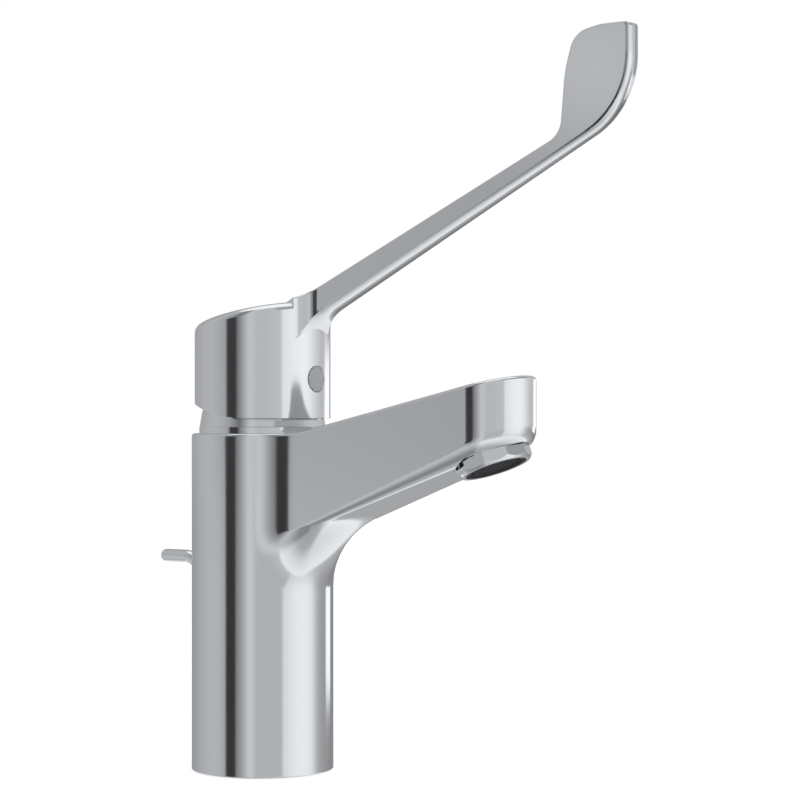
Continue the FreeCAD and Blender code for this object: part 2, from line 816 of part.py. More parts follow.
def make_handle():
    """Cap with its spindle boss, and the lever, cast in one."""
    cap = cylinder(cap_radius, beyond / 2, Vector(0, 0, cap_bottom - cap_radius / 2)).cut(above_top())
    cap = cap.makeFillet(cap_edge_round, edges_where(
        cap, lambda middle, edge: middle.z > cap_bottom + cap_radius / 2
        and abs(edge.tangentAt(edge.FirstParameter).z) < lying))
    hollow = cylinder(cap_radius - cap_wall, beyond / 2, Vector(0, 0, cap_bottom - cap_radius / 2))
    shell = cap.cut(hollow.cut(above_top(-cap_top_wall))).cut(rear_cut())
    boss = on_spindle(cylinder(boss_radius, beyond / 4, Vector(0, 0, pivot + boss_above_pivot)))
    bridge = cylinder(screw_bridge_radius, cap_radius - cap_wall / 2, Vector(0, 0, screw_height), X_AXIS)
    bridge = bridge.cut(box(2 * boss_radius, 4 * boss_radius, 0, rim + beyond, x=-boss_radius / 2))
    lump = boss.cut(above_top(-cap_top_wall / 2)).fuse(bridge)
    handle = shell.fuse(lump).fuse(make_lever())
    tip = screw_tip_x()
    screw_end = tip + screw_length
    steps = [(screw_radius + thread_clearance, tip), (access_radius, screw_end), (plug_seat_radius, plug_back())]
    bores = [cylinder(radius, cap_radius, Vector(start, 0, screw_height), X_AXIS) for radius, start in steps]
    return cut_all(handle, [socket()] + bores)


def make_handle_insert():
    """Plastic sleeve between the spindle and the handle, with a window for the screw."""
    bottom = pivot + sleeve_start
    sleeve = box(spindle_length + 2 * sleeve_wall, spindle_width + 2 * sleeve_wall, bottom,
                 bottom + sleeve_length)
    bore = box(spindle_length + 2 * running_clearance, spindle_width + 2 * running_clearance, bottom,
               bottom + sleeve_length)
    window = cylinder(screw_radius + thread_clearance, cap_radius, Vector(0, 0, screw_height), X_AXIS)
    return on_spindle(sleeve.cut(bore)).cut(window)


def make_grub_screw():
    """Set screw with a dog point and a hexagon socket."""
    tip = screw_tip_x()
    body = cylinder(screw_radius, screw_length - screw_tip_length,
                    Vector(tip + screw_tip_length, 0, screw_height), X_AXIS)
    body = body.fuse(cylinder(screw_tip_radius, screw_tip_length, Vector(tip, 0, screw_height), X_AXIS))
    corner = screw_key_flats / 2 / math.cos(math.radians(30))
    turns = [math.radians(60 * step) for step in range(6)]
    points = [Vector(0, corner * math.cos(turn), corner * math.sin(turn)) for turn in turns]
    key = Part.Face(Part.makePolygon(points + points[:1])).extrude(X_AXIS * screw_key_depth)
    key.translate(Vector(tip + screw_length - screw_key_depth, 0, screw_height))
    return body.cut(key)


def make_indicator_plug():
    """Round plug over the screw, its flat face level with the cap's front, with fine notches at its edge."""
    back = plug_back()
    screw_end = screw_tip_x() + screw_length
    plug_radius = plug_seat_radius - plug_gap
    plug = cylinder(plug_radius, cap_radius - back, Vector(back, 0, screw_height), X_AXIS)
    plug = plug.fuse(cylinder(access_radius - running_clearance, back - screw_end - skin,
                              Vector(screw_end + skin, 0, screw_height), X_AXIS))
    notches = []
    for step in range(plug_notches):
        turn = math.radians(360 * (step + 0.5) / plug_notches)
        place = Vector(cap_radius - plug_head / 2, math.cos(turn) * plug_radius,
                       screw_height + math.sin(turn) * plug_radius)
        notches.append(cylinder(plug_notch_radius, plug_head, place, X_AXIS))
    return cut_all(plug, notches)


def make_lift_rod():
    """Bent rod: a level finger behind the column, a bend and a shank that leans into the column."""
    bend_top = Vector(-finger_start, 0, finger_height)
    bend_centre = Vector(-finger_start, 0, finger_height - rod_bend_radius)
    finger = cylinder(rod_radius, finger_end - finger_start, Vector(-finger_end, 0, finger_height), X_AXIS)
    tip_edges = edges_where(finger, lambda middle, _: middle.x < -finger_end + near)
    finger = finger.makeFillet(finger_round, tip_edges)
    circle = Part.Face(Part.Wire(Part.makeCircle(rod_radius, bend_top, X_AXIS)))
    bend = circle.revolve(bend_centre, Y_AXIS, 90 - rod_lean_deg)
    bend_bottom = rod_point(finger_height - rod_bend_radius * (1 - math.sin(rod_lean)))
    low = rod_point(rod_end_height)
    shank = cylinder(rod_radius, (bend_bottom - low).Length, low, rod_axis())
    shank = shank.makeChamfer(rod_end_chamfer, edges_where(shank, lambda middle, edge: edge.isClosed()
                                               and abs(middle.z - low.z) < rod_radius))
    return finger.fuse(bend).fuse(shank)


def make_rod_bush():
    """Plastic guide in the rear bore, its outer end cut to the column's round wall."""
    top = rod_point(finger_height)
    outer = rod_radius + rod_clearance + rod_bush_wall
    # The bore's axis leaves the column's wall here, and the bush reaches down from there
    exit_height = (rod_point(0).x + column_radius) / math.tan(rod_lean)
    start = rod_point(exit_height) - rod_axis() * rod_bush_length
    length = (top - start).Length
    bore = cylinder(rod_radius + rod_clearance, length, start, rod_axis())
    bush = cylinder(outer, length, start, rod_axis()).cut(bore)
    return bush.common(cylinder(column_radius - running_clearance, rim))


def make_aerator_housing():
    """Faceted collar with a bevelled mouth, and the threaded sleeve above it."""
    low = -collar_seat
    turns = [math.radians(360 * (step + 0.5) / collar_flats + 90) for step in range(collar_flats)]
    points = [Vector(collar_radius * math.cos(turn), collar_radius * math.sin(turn), low) for turn in turns]
    collar = Part.Face(Part.makePolygon(points + points[:1])).extrude(Z_AXIS * (collar_proud - low))
    bevel = turned([(0, low - 1), (collar_radius + collar_bevel, low - 1),
                    (collar_radius, collar_proud - collar_bevel),
                    (collar_radius - collar_mouth_chamfer, collar_proud), (0, collar_proud)])
    collar = collar.common(bevel)
    sleeve_end = Vector(0, 0, low - aerator_thread_length)
    sleeve = cylinder(aerator_thread_radius, aerator_thread_length, sleeve_end)
    bore = cylinder(aerator_bore_radius, collar_proud - aerator_lip - sleeve_end.z, sleeve_end)
    mouth = cylinder(aerator_lip_radius, 2 * collar_proud, Vector(0, 0, 0))
    return on_aerator(cut_all(collar.fuse(sleeve), [bore, mouth]))


def make_aerator_insert():
    """Spray insert: a cup whose floor is a honeycomb, inside a raised ridge."""
    outer = aerator_bore_radius - running_clearance
    top = -collar_seat - aerator_thread_length + screen_flange
    face = collar_proud - aerator_lip - running_clearance
    cup = turned([(0, face - insert_floor), (outer - insert_wall, face - insert_floor),
                  (outer - insert_wall, top), (outer, top), (outer, face), (0, face)])
    ridge = ring(insert_ridge_radius, insert_ridge_radius - insert_ridge_width, face, face + aerator_lip)
    cup = cup.fuse(ridge)
    holes = []
    rows = int(honeycomb_radius / (honeycomb_pitch * math.sin(math.radians(60))))
    for row in range(-rows, rows + 1):
        y = row * honeycomb_pitch * math.sin(math.radians(60))
        for column in range(-2 * rows, 2 * rows + 1):
            x = (column + (row % 2) / 2) * honeycomb_pitch
            if math.hypot(x, y) < honeycomb_radius - honeycomb_hole_radius:
                place = Vector(x, y, face - insert_floor)
                holes.append(Part.makeCylinder(honeycomb_hole_radius, insert_floor, place))
    return on_aerator(cup.cut(Part.makeCompound(holes)))


def make_aerator_screen():
    """Domed strainer on the insert, with a ring of holes."""
    low = -collar_seat - aerator_thread_length
    flange = cylinder(aerator_bore_radius - running_clearance, screen_flange, Vector(0, 0, low))
    drum = cylinder(screen_dome_radius, screen_dome_height, Vector(0, 0, low - screen_dome_height))
    drum = drum.makeFillet(screen_outer_round, edges_where(
        drum, lambda middle, edge: edge.isClosed() and abs(middle.z - low + screen_dome_height) < near))
    hollow = cylinder(screen_dome_radius - screen_wall, screen_dome_height - screen_wall + screen_flange,
                      Vector(0, 0, low - screen_dome_height + screen_wall))
    inner_top = low - screen_dome_height + screen_wall
    hollow = hollow.makeFillet(screen_inner_round, edges_where(
        hollow, lambda middle, edge: edge.isClosed() and middle.z < inner_top + near))
    screen = flange.fuse(drum).cut(hollow)
    holes = []
    for step in range(screen_holes):
        turn = math.radians(360 * step / screen_holes)
        place = Vector(math.cos(turn), math.sin(turn), 0) * screen_hole_circle
        place.z = low - 2 * screen_dome_height
        holes.append(Part.makeCylinder(screen_wall, 2 * screen_dome_height, place))
    return on_aerator(cut_all(screen, holes))


def make_aerator_washer():
    """Rubber washer between the housing's end and the casting."""
    top = -collar_seat - aerator_thread_length
    return on_aerator(ring(aerator_thread_radius, washer_bore_radius, top - washer_height, top))


PIECES = {
    "body": make_body,
    "base_seal": make_base_seal,
    "cartridge_base": make_cartridge_base,
    "port_seals": lambda: port_rings(seat, seat + seal_height),
    "disc_seals": lambda: port_rings(foot_top - seal_height, foot_top),
    "fixed_disc": make_fixed_disc,
    "moving_disc": make_moving_disc,
    "disc_carrier": make_disc_carrier,
    "cartridge_housing": make_cartridge_housing,
    "rotor": make_rotor,
    "rotor_seal": make_rotor_seal,
    "limiter_ring": make_limiter_ring,
    "stem": make_stem,
    "stem_pin": make_stem_pin,
    "cartridge_nut": make_cartridge_nut,
    "shroud": make_shroud,
    "handle": make_handle,
    "handle_insert": make_handle_insert,
    "grub_screw": make_grub_screw,
    "indicator_plug": make_indicator_plug,
    "lift_rod": make_lift_rod,
    "rod_bush": make_rod_bush,
    "aerator_housing": make_aerator_housing,
    "aerator_insert": make_aerator_insert,
    "aerator_screen": make_aerator_screen,
    "aerator_washer": make_aerator_washer,
}

os.makedirs("parts", exist_ok=True)
for name, make in PIECES.items():
    piece = make()
    if len(piece.Solids) == 1:
        piece = piece.Solids[0]
    piece.exportStep("parts/" + name + ".step")
    print(name, "solids", len(piece.Solids), "valid", piece.isValid(), "volume", round(piece.Volume, 1))
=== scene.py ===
"""Basin mixer tap with a long lever: its finish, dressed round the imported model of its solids."""
import json
import math

import bmesh
import bpy
import numpy as np
from bpy.props import FloatProperty, FloatVectorProperty, PointerProperty
from bpy.types import Operator, Panel, PropertyGroup
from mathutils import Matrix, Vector


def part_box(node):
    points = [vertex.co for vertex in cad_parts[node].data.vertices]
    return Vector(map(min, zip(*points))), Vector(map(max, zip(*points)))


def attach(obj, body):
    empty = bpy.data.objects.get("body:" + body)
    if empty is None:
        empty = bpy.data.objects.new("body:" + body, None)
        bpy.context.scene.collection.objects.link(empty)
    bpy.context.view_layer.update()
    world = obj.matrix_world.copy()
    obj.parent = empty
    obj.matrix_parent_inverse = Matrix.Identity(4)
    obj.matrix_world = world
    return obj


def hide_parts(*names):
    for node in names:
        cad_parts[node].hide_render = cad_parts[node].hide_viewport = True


bl_info = {
    "name": "Basin mixer tap",
    "version": (1, 0, 0),
    "blender": (4, 5, 0),
    "location": "3D View > Sidebar > Tap",
    "description": "Chrome casting, lever, trim and spray face of a basin mixer tap",
    "category": "Object",
}

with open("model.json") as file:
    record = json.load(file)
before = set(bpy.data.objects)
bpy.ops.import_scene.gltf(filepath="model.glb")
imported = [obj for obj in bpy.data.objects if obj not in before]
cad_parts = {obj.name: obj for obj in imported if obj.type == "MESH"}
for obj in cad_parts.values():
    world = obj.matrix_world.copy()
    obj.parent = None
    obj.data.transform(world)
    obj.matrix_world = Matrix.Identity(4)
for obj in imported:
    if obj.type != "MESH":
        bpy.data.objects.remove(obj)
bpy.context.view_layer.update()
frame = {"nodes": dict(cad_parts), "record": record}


# Properties

def length(name, text, default):
    """A length in metres."""
    return FloatProperty(name=name, description=text, default=default, unit="LENGTH", precision=5)


def angle(name, text, degrees):
    """An angle, given in degrees."""
    return FloatProperty(name=name, description=text, default=math.radians(degrees), subtype="ANGLE")


def share(name, text, default):
    """A plain number from 0 to 1."""
    return FloatProperty(name=name, description=text, default=default, min=0.0, max=1.0)


def colour(name, text, default):
    """A colour."""
    return FloatVectorProperty(name=name, description=text, default=default, subtype="COLOR", size=3,
                               min=0.0, max=1.0)


class CastingSizes(PropertyGroup):
    """Sizes of the column and spout."""
    column_radius: length("Column radius", "Radius of the round column", 0.024)
    rim_height: length("Rim height", "Height of the column's rim", 0.1135)
    spout_width: length("Spout width", "Width of the spout between its flat sides", 0.030)
    spout_reach: length("Spout reach", "From the column's axis to the nose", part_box("body")[1].x)
    root_depth: length("Root depth", "Depth of the spout where it meets the column", 0.0337)
    underside_rise: angle("Underside rise", "Slope of the spout's underside", 20.56)
    taper: angle("Taper", "How much each side of the spout spreads towards the column", 1.25)
    top_rise: angle("Top rise", "Slope of the spout's top", 13.0)
    top_start: length("Top start", "Where the spout's top starts to rise", 0.0254)
    top_blend: length("Top blend", "Radius between the level rim and the rising top", 0.060)
    lower_round_root: length("Lower edge at the root", "Radius of the lower edges at the column", 0.0017)
    lower_round_knee: length("Lower edge at the knee", "Radius of the lower edges at the knee", 0.0053)
    lower_round_nose: length("Lower edge at the nose", "Radius of the lower edges at the nose", 0.0073)
    lower_knee: length("Knee", "Where the lower edges start to grow faster", 0.085)
    root_round: length("Root", "Radius of the spout's root into the column", 0.028)
    rim_round: length("Rim edge", "Radius of the upper edges", 0.001)
    base_round: length("Base edge", "Radius of the lower rim", 0.0004)
    blend_step: length("Blend step", "Longest edge of the mesh where the spout curves", 0.0016)
    plain_step: length("Plain step", "Longest edge of the mesh on the rest of the casting", 0.006)
    nearness: length("Nearness", "How far the solid's outside may lie from the finished one", 0.0013)
    recess_forward: length("Recess forward", "Where the spray face's axis meets the underside", 0.0926)
    recess_radius: length("Recess radius", "Radius of the recess round the collar", 0.0131)


class LeverSizes(PropertyGroup):
    """Sizes of the lever's crowned front and eased edges."""
    crown_radius: length("Crown radius", "Radius of the lever's front across its width", 0.0145)
    paddle_crown_radius: length("Paddle crown", "Radius of the paddle's front across its width", 0.0045)
    paddle_start: length("Paddle start", "Where the crown starts to tighten, from the tap's axis", 0.118)
    paddle_end: length("Paddle end", "Where the crown is at its tightest, from the tap's axis", 0.138)
    crown_start: length("Crown start", "Where the crown starts, from the tap's axis", 0.023)
    crown_run: length("Crown run", "Length over which the crown comes up", 0.006)
    edge_start: length("Edge start", "Where the eased edge starts, from the tap's axis", 0.025)
    edge_root: length("Edge at the root", "How far the edge's round runs into the side at the root", 0.0012)
    edge_run: length("Edge along the lever", "How far the edge's round runs into the straight side", 0.00025)
    edge_paddle: length("Edge at the paddle", "How far the edge's round runs into the paddle's side", 0.0007)
    strip_width: length("Strip width", "Widest mesh strip across the crown", 0.0009)


class SpraySizes(PropertyGroup):
    """Sizes of the spray face."""
    cell_pitch: length("Cell pitch", "From one cell of the honeycomb to the next", 0.0009)
    cell_wall: length("Cell wall", "Thickness of the honeycomb's walls", 0.0002)
    cell_depth: length("Cell depth", "Depth of the honeycomb", 0.0006)
    honeycomb_radius: length("Honeycomb radius", "Radius within which there are cells", 0.0082)
    face: length("Face", "How far the face stands out from the spout's underside", 0.00235)
    plate: length("Plate", "Thickness of the plate behind the cells", 0.0002)
    inner_radius: length("Inner radius", "Inner radius of the cup", 0.00935)
    cup_radius: length("Cup radius", "Outer radius of the cup", 0.01055)
    cup_end: length("Cup end", "Where the cup ends inside the spout", -0.0079)
    ridge_radius: length("Ridge radius", "Outer radius of the ridge", 0.0095)
    ridge_width: length("Ridge width", "Width of the ridge", 0.0005)
    step_radius: length("Step radius", "Outer radius of the low ridge round the honeycomb", 0.0086)
    ridge_height: length("Ridge height", "How far the ridge stands out from the face", 0.0007)


class Finish(PropertyGroup):
    """Colours and roughness of the tap's finishes."""
    chrome: colour("Chrome", "Colour of the chrome plate", (0.80, 0.805, 0.815))
    chrome_roughness: share("Chrome roughness", "Least roughness of the chrome plate", 0.010)
    smudge: share("Smudge", "Extra roughness where the plate has been wiped", 0.018)
    brass: colour("Brass", "Bare turned brass", (0.74, 0.54, 0.26))
    steel: colour("Steel", "Turned steel", (0.60, 0.60, 0.61))
    rubber: colour("Rubber", "Seals and washers", (0.025, 0.025, 0.027))
    cartridge: colour("Cartridge", "Moulded cartridge parts", (0.80, 0.81, 0.79))
    limiter: colour("Limiter", "Hot limiter ring", (0.60, 0.06, 0.04))
    ceramic: colour("Ceramic", "Ground discs", (0.86, 0.85, 0.82))
    plug: colour("Plug", "Plated plug over the grub screw", (0.92, 0.92, 0.93))
    bush: colour("Bush", "Guide of the lift rod", (0.06, 0.06, 0.065))
    # Colour of the spray face's ridges, a lighter grey than the rest of the face
    lighter_ridges: colour("Lighter ridges", "Ridges of the spray face, in a lighter grey", (0.50, 0.51, 0.53))
    spray: colour("Spray face", "Moulded spray face and strainer", (0.030, 0.031, 0.034))


class Studio(PropertyGroup):
    """Camera, floor and light tent."""
    azimuth: angle("Azimuth", "Camera's bearing from the tap's front side", 34.8)
    distance: length("Distance", "From the tap's axis to the camera, along the view", 0.7537)
    aside: length("Aside", "How far the tap's axis lies left of the view's middle", 0.0466)
    height: length("Height", "Height of the camera", 0.1173)
    lens: FloatProperty(name="Lens", description="Focal length on a 36 mm sensor, in millimetres",
                        default=99.9)
    shift: FloatProperty(name="Shift", description="Vertical shift of the lens", default=0.0275)
    tent_radius: length("Tent radius", "Radius of the light tent", 6.0)
    floor_radius: length("Floor radius", "Radius of the floor", 5.0)
    floor: colour("Floor", "Colour of the floor", (0.93, 0.93, 0.93))


class Settings(PropertyGroup):
    """All the tap's settings."""
    casting: PointerProperty(type=CastingSizes)
    lever: PointerProperty(type=LeverSizes)
    spray: PointerProperty(type=SpraySizes)
    finish: PointerProperty(type=Finish)
    studio: PointerProperty(type=Studio)


# Materials

def link(tree, start, end):
    """Joins two sockets."""
    tree.links.new(start, end)


def node(tree, kind, inputs=None, **settings):
    """A node with its settings, and a value or another node's output on each input that is given."""
    made = tree.nodes.new(kind)
    for key, value in settings.items():
        setattr(made, key, value)
    for key, value in (inputs or {}).items():
        if isinstance(value, bpy.types.NodeSocket):
            link(tree, value, made.inputs[key])
        else:
            made.inputs[key].default_value = value
    return made


def arithmetic(tree):
    """A function that adds one operation on values and sockets to a node tree."""
    def made(operation, *values):
        return node(tree, "ShaderNodeMath", dict(enumerate(values)), operation=operation).outputs[0]

    return made


def noise(tree, coordinates, scale, detail=3.0, roughness=0.5, stretch=None):
    """Noise on the object's own coordinates, drawn out along an axis where stretch is given."""
    if stretch:
        mapping = node(tree, "ShaderNodeMapping", {"Vector": coordinates, "Scale": stretch})
        coordinates = mapping.outputs["Vector"]
    values = {"Vector": coordinates, "Scale": scale, "Detail": detail, "Roughness": roughness}
    return node(tree, "ShaderNodeTexNoise", values).outputs["Fac"]


def spread(tree, value, low, high, start=0.35, stop=0.65):
    """A value from start to stop, spread from low to high."""
    values = {"Value": value, "From Min": start, "From Max": stop, "To Min": low, "To Max": high}
    return node(tree, "ShaderNodeMapRange", values).outputs["Result"]


def shade(tree, value, base, dark, light):
    """A base colour between a darker and a lighter share of itself."""
    ramp = node(tree, "ShaderNodeValToRGB", {"Fac": value})
    for stop, part in zip(ramp.color_ramp.elements, (dark, light)):
        stop.color = [min(1.0, channel * part) for channel in base] + [1.0]
    ramp.color_ramp.elements[0].position = 0.3
    ramp.color_ramp.elements[1].position = 0.7
    return ramp.outputs["Color"]


def new_finish(name, metallic=0.0):
    """An empty material with a surface shader and the object's coordinates."""
    material = bpy.data.materials.new(name)
    material.use_nodes = True
    tree = material.node_tree
    shader = tree.nodes["Principled BSDF"]
    shader.inputs["Metallic"].default_value = metallic
    return material, tree, shader, node(tree, "ShaderNodeTexCoord").outputs["Object"]


def bump(tree, shader, height, distance, strength):
    """Relief of a given depth in metres."""
    relief = node(tree, "ShaderNodeBump", {"Height": height, "Strength": strength, "Distance": distance})
    link(tree, relief.outputs["Normal"], shader.inputs["Normal"])


def chrome_finish(name, settings):
    """Polished chrome plate: clear reflections with faint wiping marks and a few hairlines."""
    _, tree, shader, coordinates = new_finish(name, metallic=1.0)
    wiped = noise(tree, coordinates, 45.0, detail=4.0)
    hairline = noise(tree, coordinates, 900.0, detail=2.0, stretch=(1.0, 1.0, 0.06))
    link(tree, shade(tree, wiped, settings.chrome, 0.985, 1.01), shader.inputs["Base Color"])
    smooth = spread(tree, wiped, settings.chrome_roughness, settings.chrome_roughness + settings.smudge)
    fine = spread(tree, hairline, 0.0, settings.smudge * 0.4, start=0.62, stop=0.75)
    link(tree, arithmetic(tree)("ADD", smooth, fine), shader.inputs["Roughness"])


def turned_finish(name, base, rough, ring):
    """Turned metal: fine rings from the tool and a little tarnish."""
    _, tree, shader, coordinates = new_finish(name, metallic=1.0)
    tarnish = noise(tree, coordinates, 160.0, detail=5.0)
    link(tree, shade(tree, tarnish, base, 0.82, 1.06), shader.inputs["Base Color"])
    link(tree, spread(tree, tarnish, rough + 0.12, rough), shader.inputs["Roughness"])
    values = {"Vector": coordinates, "Scale": ring, "Distortion": 1.2, "Detail": 2.0}
    rings = node(tree, "ShaderNodeTexWave", values, wave_type="BANDS", bands_direction="Z")
    bump(tree, shader, rings.outputs["Fac"], 0.00001, 0.6)


def moulded_finish(name, base, rough, grain, depth, tone, metallic=0.0):
    """Moulded plastic, rubber or ceramic: a fine grain, and colour and gloss that aren't quite even."""
    material, tree, shader, coordinates = new_finish(name, metallic)
    cloud = noise(tree, coordinates, 120.0)
    link(tree, shade(tree, cloud, base, *tone), shader.inputs["Base Color"])
    link(tree, spread(tree, cloud, rough, min(1.0, rough + 0.14)), shader.inputs["Roughness"])
    bump(tree, shader, noise(tree, coordinates, grain, detail=2.0), depth, 0.5)
    return material


def lighten_marked(material, bright):
    """Mixes a lighter colour in where the mesh's attribute marks it."""
    tree = material.node_tree
    base = tree.nodes["Principled BSDF"].inputs["Base Color"]
    where = node(tree, "ShaderNodeAttribute", attribute_name="lighter_ridges").outputs["Fac"]
    values = {"Factor": where, "A": base.links[0].from_socket, "B": list(bright) + [1.0]}
    link(tree, node(tree, "ShaderNodeMix", values, data_type="RGBA").outputs["Result"], base)


def make_finishes(settings):
    """One material for each of the record's slots."""
    for name in ("chrome_casting", "chrome_handle", "chrome_trim"):
        chrome_finish(name, settings)
    turned_finish("bare_brass", settings.brass, 0.22, 260.0)
    turned_finish("steel", settings.steel, 0.28, 420.0)
    moulded_finish("plug_plastic", settings.plug, 0.10, 1800.0, 0.000002, (0.97, 1.02), metallic=1.0)
    moulded_finish("rubber", settings.rubber, 0.62, 1500.0, 0.00004, (0.7, 1.4))
    moulded_finish("cartridge_plastic", settings.cartridge, 0.38, 2200.0, 0.00002, (0.95, 1.02))
    moulded_finish("limiter_plastic", settings.limiter, 0.40, 2200.0, 0.00002, (0.9, 1.06))
    moulded_finish("ceramic", settings.ceramic, 0.14, 3800.0, 0.000004, (0.97, 1.02))
    moulded_finish("bush_plastic", settings.bush, 0.42, 2200.0, 0.00002, (0.8, 1.2))
    spray = moulded_finish("aerator_plastic", settings.spray, 0.34, 2200.0, 0.00001, (0.8, 1.2))
    # A lighter grey on the two ridges of the spray face
    lighten_marked(spray, settings.lighter_ridges)


def finish_of(slot_name):
    """The material of a slot, made with all the others on first use."""
    if slot_name not in bpy.data.materials:
        make_finishes(bpy.context.scene.tap.finish)
    return bpy.data.materials[slot_name]


def add(name, data):
    """A new object in the scene."""
    made = bpy.data.objects.new(name, data)
    bpy.context.scene.collection.objects.link(made)
    return made


# Copies of the solids, with true normals

# How well a face's normals are known, from least to best
SWEPT, ROUND, PLANE, FIELD = 1, 2, 3, 4
# Faces count as flat, and as tangent to each other, within these angles
FLAT_ENOUGH = math.cos(math.radians(0.6))
TANGENT = math.cos(math.radians(20.0))
# Points are merged to the micrometre
MERGED_TO = 1e6
# Triangles below this share of the largest don't say whether a face is flat
SLIVER = 1e-4
# Most that a round's normals may lean along its axis
AXIS_SHARE = 3e-4
# How closely points lie on a round and on a ball, and the largest ball
ROUND_FIT, BALL_FIT, LARGEST_BALL = 3e-5, 2e-5, 0.2


def unit(vectors):
    """Vectors at length 1."""
    return vectors / np.maximum(np.linalg.norm(vectors, axis=-1, keepdims=True), 1e-12)


def read_solid(name):
    """Merged points, triangles and the face of the solid that each triangle belongs to."""
    mesh = frame["nodes"][name].data
    mesh.calc_loop_triangles()
    points = np.empty(len(mesh.vertices) * 3)
    mesh.vertices.foreach_get("co", points)
    points = points.reshape(-1, 3)
    corners = np.empty(len(mesh.loop_triangles) * 3, np.int64)
    mesh.loop_triangles.foreach_get("vertices", corners)
    corners = corners.reshape(-1, 3)
    root = list(range(len(points)))

    def find(index):
        while root[index] != index:
            root[index] = root[root[index]]
            index = root[index]
        return index

    for a, b, c in corners.tolist():
        first = find(a)
        root[find(b)] = first
        root[find(c)] = first
    face = np.array([find(a) for a in corners[:, 0].tolist()])
    face = np.unique(face, return_inverse=True)[1].reshape(-1)
    keys = np.round(points * MERGED_TO).astype(np.int64)
    _, first, same = np.unique(keys, axis=0, return_index=True, return_inverse=True)
    corners = same.reshape(-1)[corners]
    whole = ((corners[:, 0] != corners[:, 1]) & (corners[:, 1] != corners[:, 2])
             & (corners[:, 0] != corners[:, 2]))
    return points[first], corners[whole], face[whole]


def refine(points, corners, face, longest, rounds=9):
    """Splits edges that are longer than longest(start, end) allows, and keeps each triangle's face."""
    work = bmesh.new()
    layer = work.faces.layers.int.new("face")
    vertices = [work.verts.new(point) for point in points]
    for triangle, number in zip(corners.tolist(), face.tolist()):
        try:
            work.faces.new([vertices[index] for index in triangle])[layer] = number
        except ValueError:
            continue
    for _ in range(rounds):
        work.verts.index_update()
        places = np.array([vertex.co[:] for vertex in work.verts])
        edges = list(work.edges)
        ends = np.array([(edge.verts[0].index, edge.verts[1].index) for edge in edges])
        marked = longest(places[ends[:, 0]], places[ends[:, 1]])
        split = [edge for edge, mark in zip(edges, marked) if mark]
        if not split:
            break
        bmesh.ops.subdivide_edges(work, edges=split, cuts=1)
        many = [piece for piece in work.faces if len(piece.verts) > 3]
        bmesh.ops.triangulate(work, faces=many, quad_method="SHORT_EDGE", ngon_method="BEAUTY")
    work.verts.index_update()
    points = np.array([vertex.co[:] for vertex in work.verts])
    corners = np.array([[vertex.index for vertex in piece.verts] for piece in work.faces])
    face = np.array([piece[layer] for piece in work.faces])
    work.free()
    return points, corners, face


def facets(points, corners):
    """Normals of triangles and twice their areas."""
    first, second, third = (points[corners[:, k]] for k in range(3))
    cross = np.cross(second - first, third - first)
    area = np.linalg.norm(cross, axis=1)
    return cross / np.maximum(area, 1e-18)[:, None], area


def fit_face(points, corners):
    """Kind of surface that a face of the solid is, and its normal at each corner of its triangles."""
    normals, area = facets(points, corners)
    mean = unit((normals * area[:, None]).sum(0))
    real = area > area.max() * SLIVER
    if (normals[real] @ mean).min() > FLAT_ENOUGH:
        return PLANE, np.broadcast_to(mean, corners.shape + (3,)).copy()
    places = points[corners]
    weights = area / area.sum()
    values, axes = np.linalg.eigh((normals * weights[:, None]).T @ normals)
    if values[0] < AXIS_SHARE:
        axis = axes[:, 0]
        flat = axes[:, 1:]
        used = points[np.unique(corners)] @ flat
        system = np.c_[2 * used, np.ones(len(used))]
        answer = np.linalg.lstsq(system, (used ** 2).sum(1), rcond=None)[0]
        radius = math.sqrt(max(answer[2] + answer[0] ** 2 + answer[1] ** 2, 0.0))
        if np.abs(np.hypot(*(used - answer[:2]).T) - radius).max() < ROUND_FIT:
            radial = unit(places @ flat - answer[:2]) @ flat.T
            sign = np.sign((radial.mean(1) * normals).sum(1) @ weights)
            return ROUND, radial * sign
    used = points[np.unique(corners)]
    answer = np.linalg.lstsq(np.c_[2 * used, np.ones(len(used))], (used ** 2).sum(1), rcond=None)[0]
    radius = math.sqrt(max(answer[3] + (answer[:3] ** 2).sum(), 0.0))
    off_ball = np.abs(np.linalg.norm(used - answer[:3], axis=1) - radius).max()
    if radius < LARGEST_BALL and off_ball < BALL_FIT:
        radial = unit(places - answer[:3])
        sign = np.sign((radial.mean(1) * normals).sum(1) @ weights)
        return ROUND, radial * sign
    summed = np.zeros_like(points)
    sides = [unit(places[:, (k + 1) % 3] - places[:, k]) for k in range(3)]
    for k in range(3):
        opening = np.arccos(np.clip(-(sides[k] * sides[k - 1]).sum(1), -1, 1))
        np.add.at(summed, corners[:, k], normals * opening[:, None])
    return SWEPT, unit(summed[corners])


